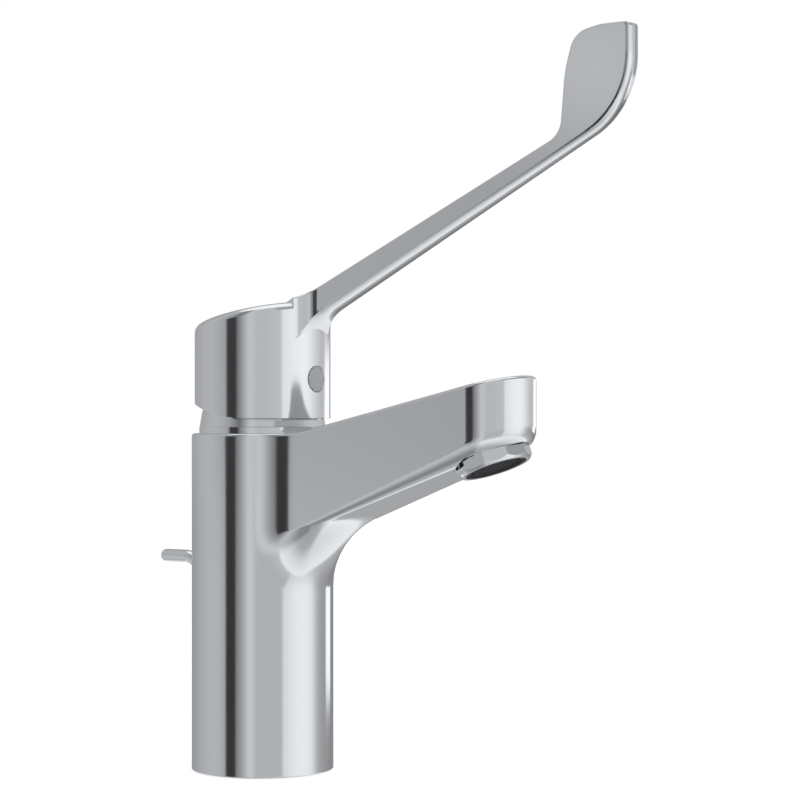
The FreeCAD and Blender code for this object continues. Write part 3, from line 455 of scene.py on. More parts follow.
def corner_normals(points, corners, face, known=None):
    """True normals at all corners: tangent faces share the normal of the one that is known best."""
    normals = np.zeros(corners.shape + (3,))
    rank = np.zeros(len(corners), int)
    for number in np.unique(face):
        of_face = face == number
        if known is not None and number in known[0]:
            normals[of_face] = known[1](points[corners[of_face]].reshape(-1, 3)).reshape(-1, 3, 3)
            rank[of_face] = FIELD
        else:
            rank[of_face], normals[of_face] = fit_face(points, corners[of_face])
    normals = normals.reshape(-1, 3)
    vertex = corners.reshape(-1)
    owner = np.repeat(face, 3)
    low = np.full(len(points), face.max() + 1)
    high = np.full(len(points), -1)
    np.minimum.at(low, vertex, owner)
    np.maximum.at(high, vertex, owner)
    at_edge = np.where((low < high)[vertex])[0]
    at_edge = at_edge[np.argsort(vertex[at_edge], kind="stable")]
    groups = np.split(at_edge, np.where(np.diff(vertex[at_edge]))[0] + 1) if len(at_edge) else []
    shared = normals.copy()
    grades = np.repeat(rank, 3)
    for rows in groups:
        here = normals[rows]
        grade = np.where(here @ here.T > TANGENT, grades[rows], -1)
        best = grade == grade.max(1, keepdims=True)
        shared[rows] = unit(best @ here)
    return shared.reshape(-1, 3, 3)


def build(name, points, corners, normals, slot_name, body, *nodes):
    """Makes a smooth mesh with its true normals, which rides on a body and stands for the solids' nodes."""
    mesh = bpy.data.meshes.new(name)
    mesh.from_pydata(points.tolist(), [], corners.tolist())
    mesh.polygons.foreach_set("use_smooth", np.ones(len(mesh.polygons), bool))
    order = np.empty(len(mesh.loops), np.int64)
    mesh.loops.foreach_get("vertex_index", order)
    if not np.array_equal(order.reshape(-1, 3), corners):
        raise RuntimeError(f"{name}: the mesh changed the order of its corners")
    mesh.normals_split_custom_set(normals.reshape(-1, 3).tolist())
    mesh.materials.append(finish_of(slot_name))
    piece = add(name, mesh)
    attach(piece, body)
    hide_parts(*nodes)
    return piece


# Column and spout. A surface is a distance to it and its normal, at given points

def meet(first, second, radius, sign):
    """Two surfaces with a rounded corner: sign 1 joins their solids, sign -1 keeps their common part."""
    (a, normal_a), (b, normal_b) = first, second
    cosine = np.clip((normal_a * normal_b).sum(1), -0.99, 0.99)
    u = radius - sign * a
    v = radius - sign * b
    weight_a = u - cosine * v
    weight_b = v - cosine * u
    corner = (weight_a > 0) & (weight_b > 0)
    size = np.sqrt(np.maximum(u * weight_a + v * weight_b, 1e-18) / (1 - cosine ** 2))
    first_rules = sign * a < sign * b
    distance = np.where(corner, sign * (radius - size), np.where(first_rules, a, b))
    weight_a = np.where(corner, weight_a, first_rules)
    weight_b = np.where(corner, weight_b, ~first_rules)
    return distance, unit(weight_a[:, None] * normal_a + weight_b[:, None] * normal_b)


def level_with(points, place, normal):
    """Flat surface through a place."""
    normal = np.array(normal)
    return (points - np.array(place)) @ normal, np.broadcast_to(normal, points.shape)


def mirrored(normals, points):
    """Normals worked out for the side of positive y, turned over on the other side."""
    turned = normals.copy()
    turned[:, 1] *= np.where(points[:, 1] < 0, -1.0, 1.0)
    return turned


def nearest_on(line, points):
    """Nearest places on a line of points, as two indices and the share from the first to the second."""
    best = ((line ** 2).sum(1) - 2 * points @ line.T).argmin(1)
    gap = np.full(len(points), np.inf)
    answer = [best, best, np.zeros(len(points))]
    for other in (np.maximum(best - 1, 0), np.minimum(best + 1, len(line) - 1)):
        run = line[other] - line[best]
        part = ((points - line[best]) * run).sum(1) / np.maximum((run ** 2).sum(1), 1e-18)
        part = np.clip(part, 0, 1)
        off = np.linalg.norm(points - line[best] - run * part[:, None], axis=1)
        closer = off < gap
        gap = np.where(closer, off, gap)
        answer[1] = np.where(closer, other, answer[1])
        answer[2] = np.where(closer, part, answer[2])
    return answer


def recess(sizes):
    """Where the spray face's axis meets the spout's underside, and the axis's direction out of the spout."""
    rise = math.tan(sizes.underside_rise) * (sizes.recess_forward - sizes.column_radius)
    place = (sizes.recess_forward, 0.0, sizes.rim_height - sizes.root_depth + rise)
    return np.array(place), np.array((math.sin(sizes.underside_rise), 0.0, -math.cos(sizes.underside_rise)))


# The line of the root's ball: its points, the halvings that find each, and its widest turn, in column radii
LINE_POINTS, HALVINGS, WIDEST = 280, 45, 1.6
# The root lies past the first share of its ball's radius, and within the second of column and spout
ROOT_START, ROOT_REACH = 0.2, 0.6


class Casting:
    """Outside of the column and the spout."""

    def __init__(self, sizes):
        self.sizes = sizes
        self.half = sizes.spout_width / 2
        self.nose = sizes.spout_reach - self.half
        self.down = (math.sin(sizes.underside_rise), 0.0, -math.cos(sizes.underside_rise))
        self.up = (-math.sin(sizes.top_rise), 0.0, math.cos(sizes.top_rise))
        self.under_at = (sizes.column_radius, 0.0, sizes.rim_height - sizes.root_depth)
        self.centres, self.to_column, self.to_spout = self.root_line()

    def lower_radius(self, x):
        """Radius of the spout's lower edge, which grows from the column to the nose."""
        sizes = self.sizes
        return np.interp(x, [sizes.column_radius, sizes.lower_knee, sizes.spout_reach],
                         [sizes.lower_round_root, sizes.lower_round_knee, sizes.lower_round_nose])

    def column(self, points):
        """The round column."""
        away = np.maximum(np.hypot(points[:, 0], points[:, 1]), 1e-9)
        normal = np.stack([points[:, 0] / away, points[:, 1] / away, np.zeros(len(points))], axis=1)
        return away - self.sizes.column_radius, normal

    def spout(self, points):
        """The spout as a bar: sides that spread to the column, a round nose and a flat underside."""
        ahead = points[:, 0] - self.nose
        width = np.abs(points[:, 1])
        sine, cosine = math.sin(self.sizes.taper), math.cos(self.sizes.taper)
        straight = ahead * cosine - width * sine < 0
        away = np.maximum(np.hypot(ahead, width), 1e-9)
        sideways = np.where(straight, ahead * sine + width * cosine, away) - self.half
        normal = np.stack([np.where(straight, sine, ahead / away), np.where(straight, cosine, width / away),
                           np.zeros(len(points))], axis=1)
        walls = sideways, mirrored(normal, points)
        beneath = level_with(points, self.under_at, self.down)
        distance, normal = meet(walls, beneath, self.lower_radius(points[:, 0]), -1)
        # The bar ends inside the column
        return np.where(points[:, 0] < 0, np.maximum(distance, -points[:, 0]), distance), normal

    def root_line(self):
        """Where the centre of the ball runs that rounds the root: a ball's radius from column and spout."""
        ball = self.sizes.root_round
        out = self.sizes.column_radius + ball
        turns = np.linspace(-math.pi / 2, math.pi / 4, LINE_POINTS)

        def place(run):
            """Points on the round wall on which the centre runs, at a run along rays from the spout."""
            bearing = run * np.cos(turns) / out
            return np.stack([out * np.cos(bearing), out * np.sin(bearing),
                             self.sizes.rim_height + run * np.sin(turns)], axis=1)

        near = np.zeros(LINE_POINTS)
        far = np.full(LINE_POINTS, WIDEST * out)
        for _ in range(HALVINGS):
            middle = (near + far) / 2
            outside = self.spout(place(middle))[0] > ball
            far = np.where(outside, middle, far)
            near = np.where(outside, near, middle)
        centres = place(near)
        return centres, -self.column(centres)[1], -self.spout(centres)[1]

    def outside(self, points):
        """Column and spout in one, with the rounded root."""
        column, spout = self.column(points), self.spout(points)
        first_rules = column[0] < spout[0]
        distance = np.where(first_rules, column[0], spout[0])
        normal = np.where(first_rules[:, None], column[1], spout[1])
        ball = self.sizes.root_round
        near = np.maximum(column[0], spout[0]) < ROOT_REACH * ball
        rows = np.where((points[:, 0] > ROOT_START * ball) & near)[0]
        if not len(rows):
            return distance, normal
        here = points[rows] * np.array([1.0, 0.0, 1.0])
        here[:, 1] = np.abs(points[rows, 1])
        start, end, part = nearest_on(self.centres, here)

        def at(values):
            return values[start] + (values[end] - values[start]) * part[:, None]

        run = here - at(self.centres)
        to_column, to_spout = unit(at(self.to_column)), unit(at(self.to_spout))
        cosine = (to_column * to_spout).sum(1)
        u, v = (run * to_column).sum(1), (run * to_spout).sum(1)
        size = np.maximum(np.linalg.norm(run, axis=1), 1e-9)
        within = (u > cosine * v) & (v > cosine * u)
        distance[rows[within]] = (ball - size)[within]
        normal[rows[within]] = mirrored(-run / size[:, None], points[rows])[within]
        return distance, normal

    def __call__(self, points):
        sizes = self.sizes
        level = level_with(points, (0.0, 0.0, sizes.rim_height), (0.0, 0.0, 1.0))
        rising = level_with(points, (sizes.top_start, 0.0, sizes.rim_height), self.up)
        above = meet(level, rising, sizes.top_blend, 1)
        whole = meet(self.outside(points), above, sizes.rim_round, -1)
        return meet(whole, level_with(points, (0.0, 0.0, 0.0), (0.0, 0.0, -1.0)), sizes.base_round, -1)


# Fewest outer faces that the casting can have, and how squarely each faces as the finished surface does
FEWEST_OUTER, OUTWARD = 12, 0.8
# Least turn across an edge that is split, and how close to the column's wall an edge lies on it
TURNING, ON_COLUMN = math.cos(math.radians(1.5)), 1e-5
# Reach round the recess's wall, rounds in which points settle, and the steepest that the rim may slide
RIM_REACH, SETTLING_ROUNDS, STEEPEST = 0.0002, 8, 0.3


class TAP_OT_casting(Operator):
    """Chrome column and spout, with a smooth root where the spout grows out of the column"""
    bl_idname = "tap.casting"
    bl_label = "Column and spout"

    def execute(self, context):
        surface = Casting(context.scene.tap.casting)
        points, corners, face = read_solid("body")
        outer = self.outer_faces(surface, points, corners, face)
        if len(outer) < FEWEST_OUTER:
            raise RuntimeError("the casting's outside isn't where its sizes say")
        points, corners, face = refine(points, corners, face, self.too_long(surface))
        skin = np.isin(face, outer)
        self.settle(surface, points, corners[skin], corners[~skin])
        normals = corner_normals(points, corners, face, (set(outer), lambda at: surface(at)[1]))
        build("chrome_column_and_spout", points, corners, normals, "chrome_casting", "tap_body", "body")
        return {"FINISHED"}

    def outer_faces(self, surface, points, corners, face):
        """Faces of the solid that lie near the finished surface and face as it does."""
        near = np.abs(surface(points)[0]) < surface.sizes.nearness
        facing = (surface(points[corners].mean(1))[1] * facets(points, corners)[0]).sum(1)
        outer = []
        for number in np.unique(face):
            here = face == number
            if near[corners[here]].all() and np.median(facing[here]) > OUTWARD:
                outer.append(number)
        return outer

    def too_long(self, surface):
        """Marks long edges on the outside, and on the spout those between which the surface turns."""
        sizes = surface.sizes

        def marked(start, end):
            run = np.linalg.norm(end - start, axis=1)
            answer = np.zeros(len(run), bool)
            rows = np.where(run > sizes.blend_step)[0]
            start, end, run = start[rows], end[rows], run[rows]
            at_start, at_end = surface(start), surface(end)
            on_skin = np.maximum(np.abs(at_start[0]), np.abs(at_end[0])) < sizes.nearness
            on_skin &= np.abs(surface((start + end) / 2)[0]) < sizes.nearness
            off_column = np.maximum(np.abs(surface.column(start)[0]), np.abs(surface.column(end)[0]))
            turning = (at_start[1] * at_end[1]).sum(1) < TURNING
            answer[rows] = on_skin & ((run > sizes.plain_step) | (turning & (off_column >= ON_COLUMN)))
            return answer

        return marked

    def settle(self, surface, points, skin, rest):
        """Moves the outside's points onto the finished surface, and the recess's rim along its own wall."""
        on_skin, shared = np.zeros((2, len(points)), bool)
        on_skin[skin] = True
        shared[rest] = True
        place, down = recess(surface.sizes)
        gap = points - place
        from_axis = np.linalg.norm(gap - (gap @ down)[:, None] * down, axis=1)
        rim = on_skin & shared & (np.abs(from_axis - surface.sizes.recess_radius) < RIM_REACH)
        free = on_skin & ~shared
        for _ in range(SETTLING_ROUNDS):
            distance, normal = surface(points[free])
            points[free] -= distance[:, None] * normal
            distance, normal = surface(points[rim])
            points[rim] -= (distance / np.maximum(normal @ down, STEEPEST))[:, None] * down


# Drops what a direction has across the lever
SIDE_PLANE = np.array([1.0, 0.0, 1.0])
# Least part of a normal that isn't sideways, for it to be leaned out
LEAST_ALONG = 0.02
# Normals in an edge's round lean sideways between these shares, and on the flat side more than the third
ROUND_FROM, ROUND_TO, ON_SIDE = 0.35, 0.999, 0.9995
# Underside normals point down at least this much, and the paddle lies past this distance from the tap's axis
DOWNWARD, PADDLE_AT = -0.2, 0.1
# Places along the lever between which the edge's round changes: root, straight part, paddle
EASE_AT = (0.026, 0.034, 0.060, 0.110, 0.124)


def faces_forward(flat):
    """Whether directions point out of the lever's front or underside."""
    return flat[:, 0] - 0.2 * flat[:, 2] > 0.05


class TAP_OT_handle(Operator):
    """Chrome cap and long lever, its underside and front crowned across their width"""
    bl_idname = "tap.handle"
    bl_label = "Cap and lever"

    def execute(self, context):
        sizes = context.scene.tap.lever
        points, corners, face = read_solid("handle")

        def too_wide(start, end):
            """Edges of the lever that run across more than one strip."""
            past_root = np.minimum(start[:, 0], end[:, 0]) > sizes.crown_start
            return past_root & (np.abs(end[:, 1] - start[:, 1]) > sizes.strip_width)

        points, corners, face = refine(points, corners, face, too_wide)
        normals = corner_normals(points, corners, face).reshape(-1, 3)
        self.ease_edges(points, corners, normals, sizes)
        self.crown(points[corners].reshape(-1, 3), normals, sizes)
        build("chrome_cap_and_lever", points, corners, normals.reshape(-1, 3, 3), "chrome_handle", "lever",
              "handle")
        return {"FINISHED"}

    def ease_edges(self, points, corners, normals, sizes):
        """Draws the side's edge in from the lever's front, so that its round runs out into the flat side."""
        vertex = corners.reshape(-1)
        sideways = np.abs(normals[:, 1])
        inward = np.zeros_like(points)
        # Corners of the edge's round that aren't on the flat side say where the front lies
        turned = np.where((sideways < ROUND_TO) & (sideways > ROUND_FROM))[0]
        flat = unit(normals[turned] * SIDE_PLANE)
        # The flare at the lever's root faces forward too, and is left as it is
        on_lever = (flat[:, 2] < DOWNWARD) | (points[vertex[turned], 0] > PADDLE_AT)
        forward = faces_forward(flat) & on_lever
        for row, direction in zip(turned[forward], flat[forward]):
            inward[corners[row // 3]] -= direction
        on_side = np.zeros(len(points), bool)
        on_side[vertex[sideways > ON_SIDE]] = True
        chosen = on_side & (np.linalg.norm(inward, axis=1) > 0) & (points[:, 0] > sizes.edge_start)
        runs = [sizes.edge_root] * 2 + [sizes.edge_run] * 2 + [sizes.edge_paddle]
        points[chosen] += unit(inward[chosen]) * np.interp(points[chosen, 0], EASE_AT, runs)[:, None]

    def crown(self, places, normals, sizes):
        """Leans the normals of underside and front outwards across the width, as on a round."""
        flat = normals * SIDE_PLANE
        along = np.linalg.norm(flat, axis=1)
        crowned = (places[:, 0] > sizes.crown_start) & faces_forward(flat) & (along > LEAST_ALONG)
        rise = np.clip((places[:, 0] - sizes.crown_start) / sizes.crown_run, 0, 1)
        rise *= rise * (3 - 2 * rise)
        lean = np.arctan2(np.abs(normals[:, 1]), along)
        radius = np.interp(places[:, 0], [sizes.paddle_start, sizes.paddle_end],
                           [sizes.crown_radius, sizes.paddle_crown_radius])
        lean += (1 - lean / (math.pi / 2)) * np.arctan(np.abs(places[:, 1]) / radius) * rise
        outward = np.sign(places[:, 1])[:, None] * np.array([0.0, 1.0, 0.0])
        leaning = unit(flat) * np.cos(lean)[:, None] + outward * np.sin(lean)[:, None]
        normals[crowned] = unit(leaning[crowned])


# Name, solid and body of each piece of plain chrome trim
TRIM = (("chrome_ring", "shroud", "tap_body"), ("chrome_lift_rod", "lift_rod", "waste_rod"),
        ("chrome_collar", "aerator_housing", "tap_body"))


class TAP_OT_trim(Operator):
    """Chrome ring under the cap, lift rod and the faceted collar of the spray face"""
    bl_idname = "tap.trim"
    bl_label = "Chrome trim"

    def execute(self, context):
        for name, solid, body in TRIM:
            points, corners, face = read_solid(solid)
            normals = corner_normals(points, corners, face)
            build(name, points, corners, normals, "chrome_trim", body, solid)
        return {"FINISHED"}


# Fewest faces that the spray face has with its cells
FEWEST_CELL_FACES = 2000


class TAP_OT_spray(Operator):
    """Spray face: a moulded cup with a raised ridge round a honeycomb of small cells"""
    bl_idname = "tap.spray"
    bl_label = "Spray face"

    def execute(self, context):
        sizes = context.scene.tap.spray
        place, out = (Vector(values) for values in recess(context.scene.tap.casting))
        turn = Vector((0.0, 0.0, 1.0)).rotation_difference(out)
        outline = self.outline(sizes)
        mesh = bpy.data.meshes.new("spray_face")
        self.turned(mesh, outline, place, turn)
        # The two ridges are marked for a lighter grey
        bright = mesh.attributes.new("lighter_ridges", "FLOAT", "POINT")
        ridges = [float(height > sizes.face) for _, height in outline]
        bright.data.foreach_set("value", ridges * (len(mesh.vertices) // len(outline)))
        piece = add("spray_face", mesh)
        tree = self.honeycomb()
        modifier = piece.modifiers.new("honeycomb", "NODES")
        modifier.node_group = tree
        values = {"Pitch": sizes.cell_pitch, "Wall": sizes.cell_wall, "Depth": sizes.cell_depth,
                  "Radius": sizes.honeycomb_radius - sizes.cell_pitch / 2,
                  "Place": list(place + out * (sizes.face - sizes.cell_depth / 2)),
                  "Turn": list(turn.to_euler()),
                  "Finish": finish_of("aerator_plastic")}
        for socket in tree.interface.items_tree:
            if socket.name in values:
                modifier[socket.identifier] = values[socket.name]
        depsgraph = context.evaluated_depsgraph_get()
        whole = bpy.data.meshes.new_from_object(piece.evaluated_get(depsgraph))
        piece.modifiers.clear()
        piece.data = whole
        whole.shade_smooth()
        whole.set_sharp_from_angle(angle=math.radians(30))
        if len(whole.polygons) < FEWEST_CELL_FACES:
            raise RuntimeError("the spray face has no honeycomb")
        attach(piece, "tap_body")
        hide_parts("aerator_insert")
        return {"FINISHED"}

    def outline(self, sizes):
        """Section of the cup, from the back of its plate round to the front, as radius and height."""
        face, edge = sizes.face, sizes.ridge_width / 5
        plate, top, low_top = face - sizes.cell_depth, face + sizes.ridge_height, face + edge * 2
        outer, inner = sizes.ridge_radius, sizes.ridge_radius - sizes.ridge_width
        return [(sizes.inner_radius, plate - sizes.plate), (sizes.inner_radius, sizes.cup_end),
                (sizes.cup_radius, sizes.cup_end), (sizes.cup_radius, face), (outer, face),
                (outer, top - edge), (outer - edge, top), (inner + edge, top), (inner, top - edge),
                (inner, face), (sizes.step_radius, face), (sizes.step_radius - edge, low_top),
                (sizes.honeycomb_radius + edge, low_top), (sizes.honeycomb_radius, face),
                (sizes.honeycomb_radius, plate)]

    def turned(self, mesh, outline, place, turn, count=96):
        """Closed shape turned about its axis through (radius, height) points, with a flat cap at each end."""
        points, faces = [], []
        for k in range(count):
            bearing = 2 * math.pi * k / count
            for radius, height in outline:
                point = Vector((radius * math.cos(bearing), radius * math.sin(bearing), height))
                points.append(place + turn @ point)
        size = len(outline)
        for k in range(count):
            here, there = k * size, (k + 1) % count * size
            faces += [(here + i, there + i, there + i + 1, here + i + 1) for i in range(size - 1)]
        faces.append([k * size for k in reversed(range(count))])
        faces.append([k * size + size - 1 for k in range(count)])
        mesh.from_pydata(points, [], faces)
        check = bmesh.new()
        check.from_mesh(mesh)
        bmesh.ops.recalc_face_normals(check, faces=check.faces)
        check.to_mesh(mesh)
        check.free()

    def honeycomb(self):
        """Geometry nodes that add a round field of hexagonal cells to a mesh."""
        tree = bpy.data.node_groups.new("honeycomb", "GeometryNodeTree")
        kinds = {"Geometry": "Geometry", "Pitch": "Float", "Wall": "Float", "Depth": "Float",
                 "Radius": "Float", "Place": "Vector", "Turn": "Vector", "Finish": "Material"}
        for name, kind in kinds.items():
            tree.interface.new_socket(name=name, in_out="INPUT", socket_type="NodeSocket" + kind)
        tree.interface.new_socket(name="Geometry", in_out="OUTPUT", socket_type="NodeSocketGeometry")
        given = node(tree, "NodeGroupInput").outputs
        made = arithmetic(tree)
        row_pitch = made("MULTIPLY", given["Pitch"], math.sin(math.radians(60)))
        # The rows lie closer than the pitch, so the count is a quarter more
        half_count = made("CEIL", made("MULTIPLY", made("DIVIDE", given["Radius"], given["Pitch"]), 1.25))
        run = made("MULTIPLY", half_count, 2.0)
        count = made("ADD", run, 1.0)
        grid = node(tree, "GeometryNodeMeshGrid", {
            "Size X": made("MULTIPLY", run, given["Pitch"]), "Size Y": made("MULTIPLY", run, row_pitch),
            "Vertices X": count, "Vertices Y": count})
        position = node(tree, "GeometryNodeInputPosition").outputs[0]
        parts = node(tree, "ShaderNodeSeparateXYZ", {0: position})
        odd = made("FLOORED_MODULO", made("ROUND", made("DIVIDE", parts.outputs["Y"], row_pitch)), 2.0)
        shift = node(tree, "ShaderNodeCombineXYZ", {
            "X": made("MULTIPLY", odd, made("MULTIPLY", given["Pitch"], 0.5))})
        moved = node(tree, "GeometryNodeSetPosition", {
            "Geometry": grid.outputs["Mesh"], "Offset": shift.outputs[0]})
        away = node(tree, "ShaderNodeVectorMath", {0: position}, operation="LENGTH").outputs["Value"]
        kept = node(tree, "GeometryNodeDeleteGeometry", {
            "Geometry": moved.outputs["Geometry"],
            "Selection": made("GREATER_THAN", away, given["Radius"])}, domain="POINT")
        half_wall = made("MULTIPLY", given["Wall"], 0.5)
        across = made("SUBTRACT", given["Pitch"], half_wall)
        path = node(tree, "GeometryNodeCurvePrimitiveCircle", {
            "Resolution": 6, "Radius": made("DIVIDE", across, math.sqrt(3))}, mode="RADIUS")
        section = node(tree, "GeometryNodeCurvePrimitiveQuadrilateral", {
            "Width": half_wall, "Height": given["Depth"]}, mode="RECTANGLE")
        cell = node(tree, "GeometryNodeCurveToMesh", {
            "Curve": path.outputs["Curve"], "Profile Curve": section.outputs["Curve"]})
        spun = node(tree, "GeometryNodeTransform", {
            "Geometry": cell.outputs["Mesh"], "Rotation": (0.0, 0.0, math.radians(30))})
        many = node(tree, "GeometryNodeInstanceOnPoints", {
            "Points": kept.outputs["Geometry"], "Instance": spun.outputs["Geometry"]})
        real = node(tree, "GeometryNodeRealizeInstances", {"Geometry": many.outputs["Instances"]})
        placed = node(tree, "GeometryNodeTransform", {
            "Geometry": real.outputs["Geometry"], "Translation": given["Place"], "Rotation": given["Turn"]})
        both = node(tree, "GeometryNodeJoinGeometry")
        link(tree, placed.outputs["Geometry"], both.inputs[0])
        link(tree, given["Geometry"], both.inputs[0])
        coated = node(tree, "GeometryNodeSetMaterial", {
            "Geometry": both.outputs[0], "Material": given["Finish"]})
        node(tree, "NodeGroupOutput", {0: coated.outputs[0]})
        return tree


class TAP_OT_inner_parts(Operator):
    """Finishes of the solids that stay as they are"""
    bl_idname = "tap.inner_parts"
    bl_label = "Inner parts"

    def execute(self, context):
        slots = {part["node"]: part["material_slot"] for part in frame["record"]["subparts"]}
        for name, solid in frame["nodes"].items():
            if solid.hide_render:
                continue
            material = finish_of(slots[name])
            solid.data.materials.clear()
            solid.data.materials.append(material)
        return {"FINISHED"}


# Camera and stage

class TAP_OT_camera(Operator):
    """Level camera at the photograph's bearing"""
    bl_idname = "tap.camera"
    bl_label = "Camera"

    def execute(self, context):
        studio = context.scene.tap.studio
        camera = bpy.data.cameras.new("camera")
        camera.sensor_width = 36.0
        camera.lens = studio.lens
        camera.shift_y = studio.shift
        camera.clip_start = 0.01
        holder = add("camera", camera)
        bearing = studio.azimuth
        side = Vector((math.cos(bearing), math.sin(bearing), 0.0))
        back = Vector((math.sin(bearing), -math.cos(bearing), 0.0))
        holder.location = side * studio.aside + back * studio.distance + Vector((0.0, 0.0, studio.height))
        holder.rotation_euler = (math.radians(90), 0.0, bearing)
        context.scene.camera = holder
        return {"FINISHED"}


# Levels of light round the tap, by bearing in degrees from its front side: low as the column sees them, and
# high as the cap does. Many are brightness measured in the photograph along rows across column and cap
SEAM = -130.0
LOW_WALL = [(-130, 0.33), (-108, 0.38), (-90, 0.46), (-70, 0.53), (-51, 0.57), (-38, 0.56), (-28, 0.49),
            (-6, 0.22), (-2, 0.32), (2, 0.37), (11, 0.58), (14, 0.69), (17, 0.72), (20, 0.71), (24, 0.64),
            (28, 0.55), (66, 0.55), (70.4, 0.57), (70.9, 0.84), (84, 0.95), (94, 1.02), (106, 1.04),
            (118, 1.02), (126, 0.88), (131, 0.73), (136, 0.56), (146, 0.43), (158, 0.38), (180, 0.28),
            (229.9, 0.33)]
HIGH_WALL = [(-130, 0.40), (-102, 0.46), (-78, 0.54), (-56, 0.55), (-33, 0.46), (-28, 0.43), (-6, 0.18),
             (1, 0.33), (10, 0.56), (14, 0.67), (20, 0.66), (28, 0.60), (41, 0.60), (55, 0.63), (66, 0.64),
             (70.4, 0.66), (70.9, 0.94), (82, 1.00), (97, 1.08), (113, 1.10), (122, 1.04), (131, 0.92),
             (142, 0.76), (154, 0.62), (166, 0.60), (192, 0.50), (214, 0.40), (229.9, 0.40)]
# Elevations between which the low wall gives way to the high one
WALL_CHANGE = (-4.0, 0.0)
# Towards the table the low wall grows lighter, from this elevation down: share of the wall and what is added
LIGHTER_FROM, LIGHTER_SHARE, LIGHTER_MORE = -12.0, 0.5, 0.35
# Boxes of light and dark have first and last bearing, lowest and highest elevation, and soft edges as bearing
# and elevation. The black flag is in two pieces
FLAGS = [(-23.7, -6.0, -15.0, -0.6), (-25.3, -6.4, -0.6, 6.0)]
FLAG_EDGE, FLAG_LEVEL = (0.3, 0.2), 0.04
# White strip lights
STRIPS = [(162.5, 181.0, -8.0, -0.8), (168.0, 193.0, -0.8, 2.1)]
STRIP_EDGE, STRIP_LEVEL = (0.5, 0.2), 1.25
# Soft spot of light: bearing, elevation, reach and how much it adds
SPOT = (-26.3, 10.2, 4.0, 0.34)
# The white table below, by elevation, and its top edge
TABLE = [(-90, 0.45), (-64, 0.50), (-45, 0.86), (-28, 1.06)]
TABLE_TOP, TABLE_EDGE = -28.0, 0.6
# On the lever's side the table lies in the tap's own shade: first and last bearing, soft edge, share of light
TABLE_SHADE, SHADE_EDGE, SHADE_SHARE = (-100.0, 20.0), 12.0, 0.62
# White ceiling, over a blend in elevation, with a grey opening over the spout
CEILING_START, CEILING_BLEND, CEILING_LEVEL = 56.0, 8.0, 1.15
OPENING, OPENING_EDGE, OPENING_LEVEL = (60.0, 150.0, 12.0, 50.0), (4.0, 3.0), 0.40
# Red, green and blue share of the tent's light
TINT = (0.975, 0.99, 1.01)
# What the floor adds for the camera, so that it is as white as its surroundings
FLOOR_GLOW = 0.53
# How far the floor lies under the tap, and the corners of its round outline
FLOOR_GAP, FLOOR_CORNERS = 0.0001, 64


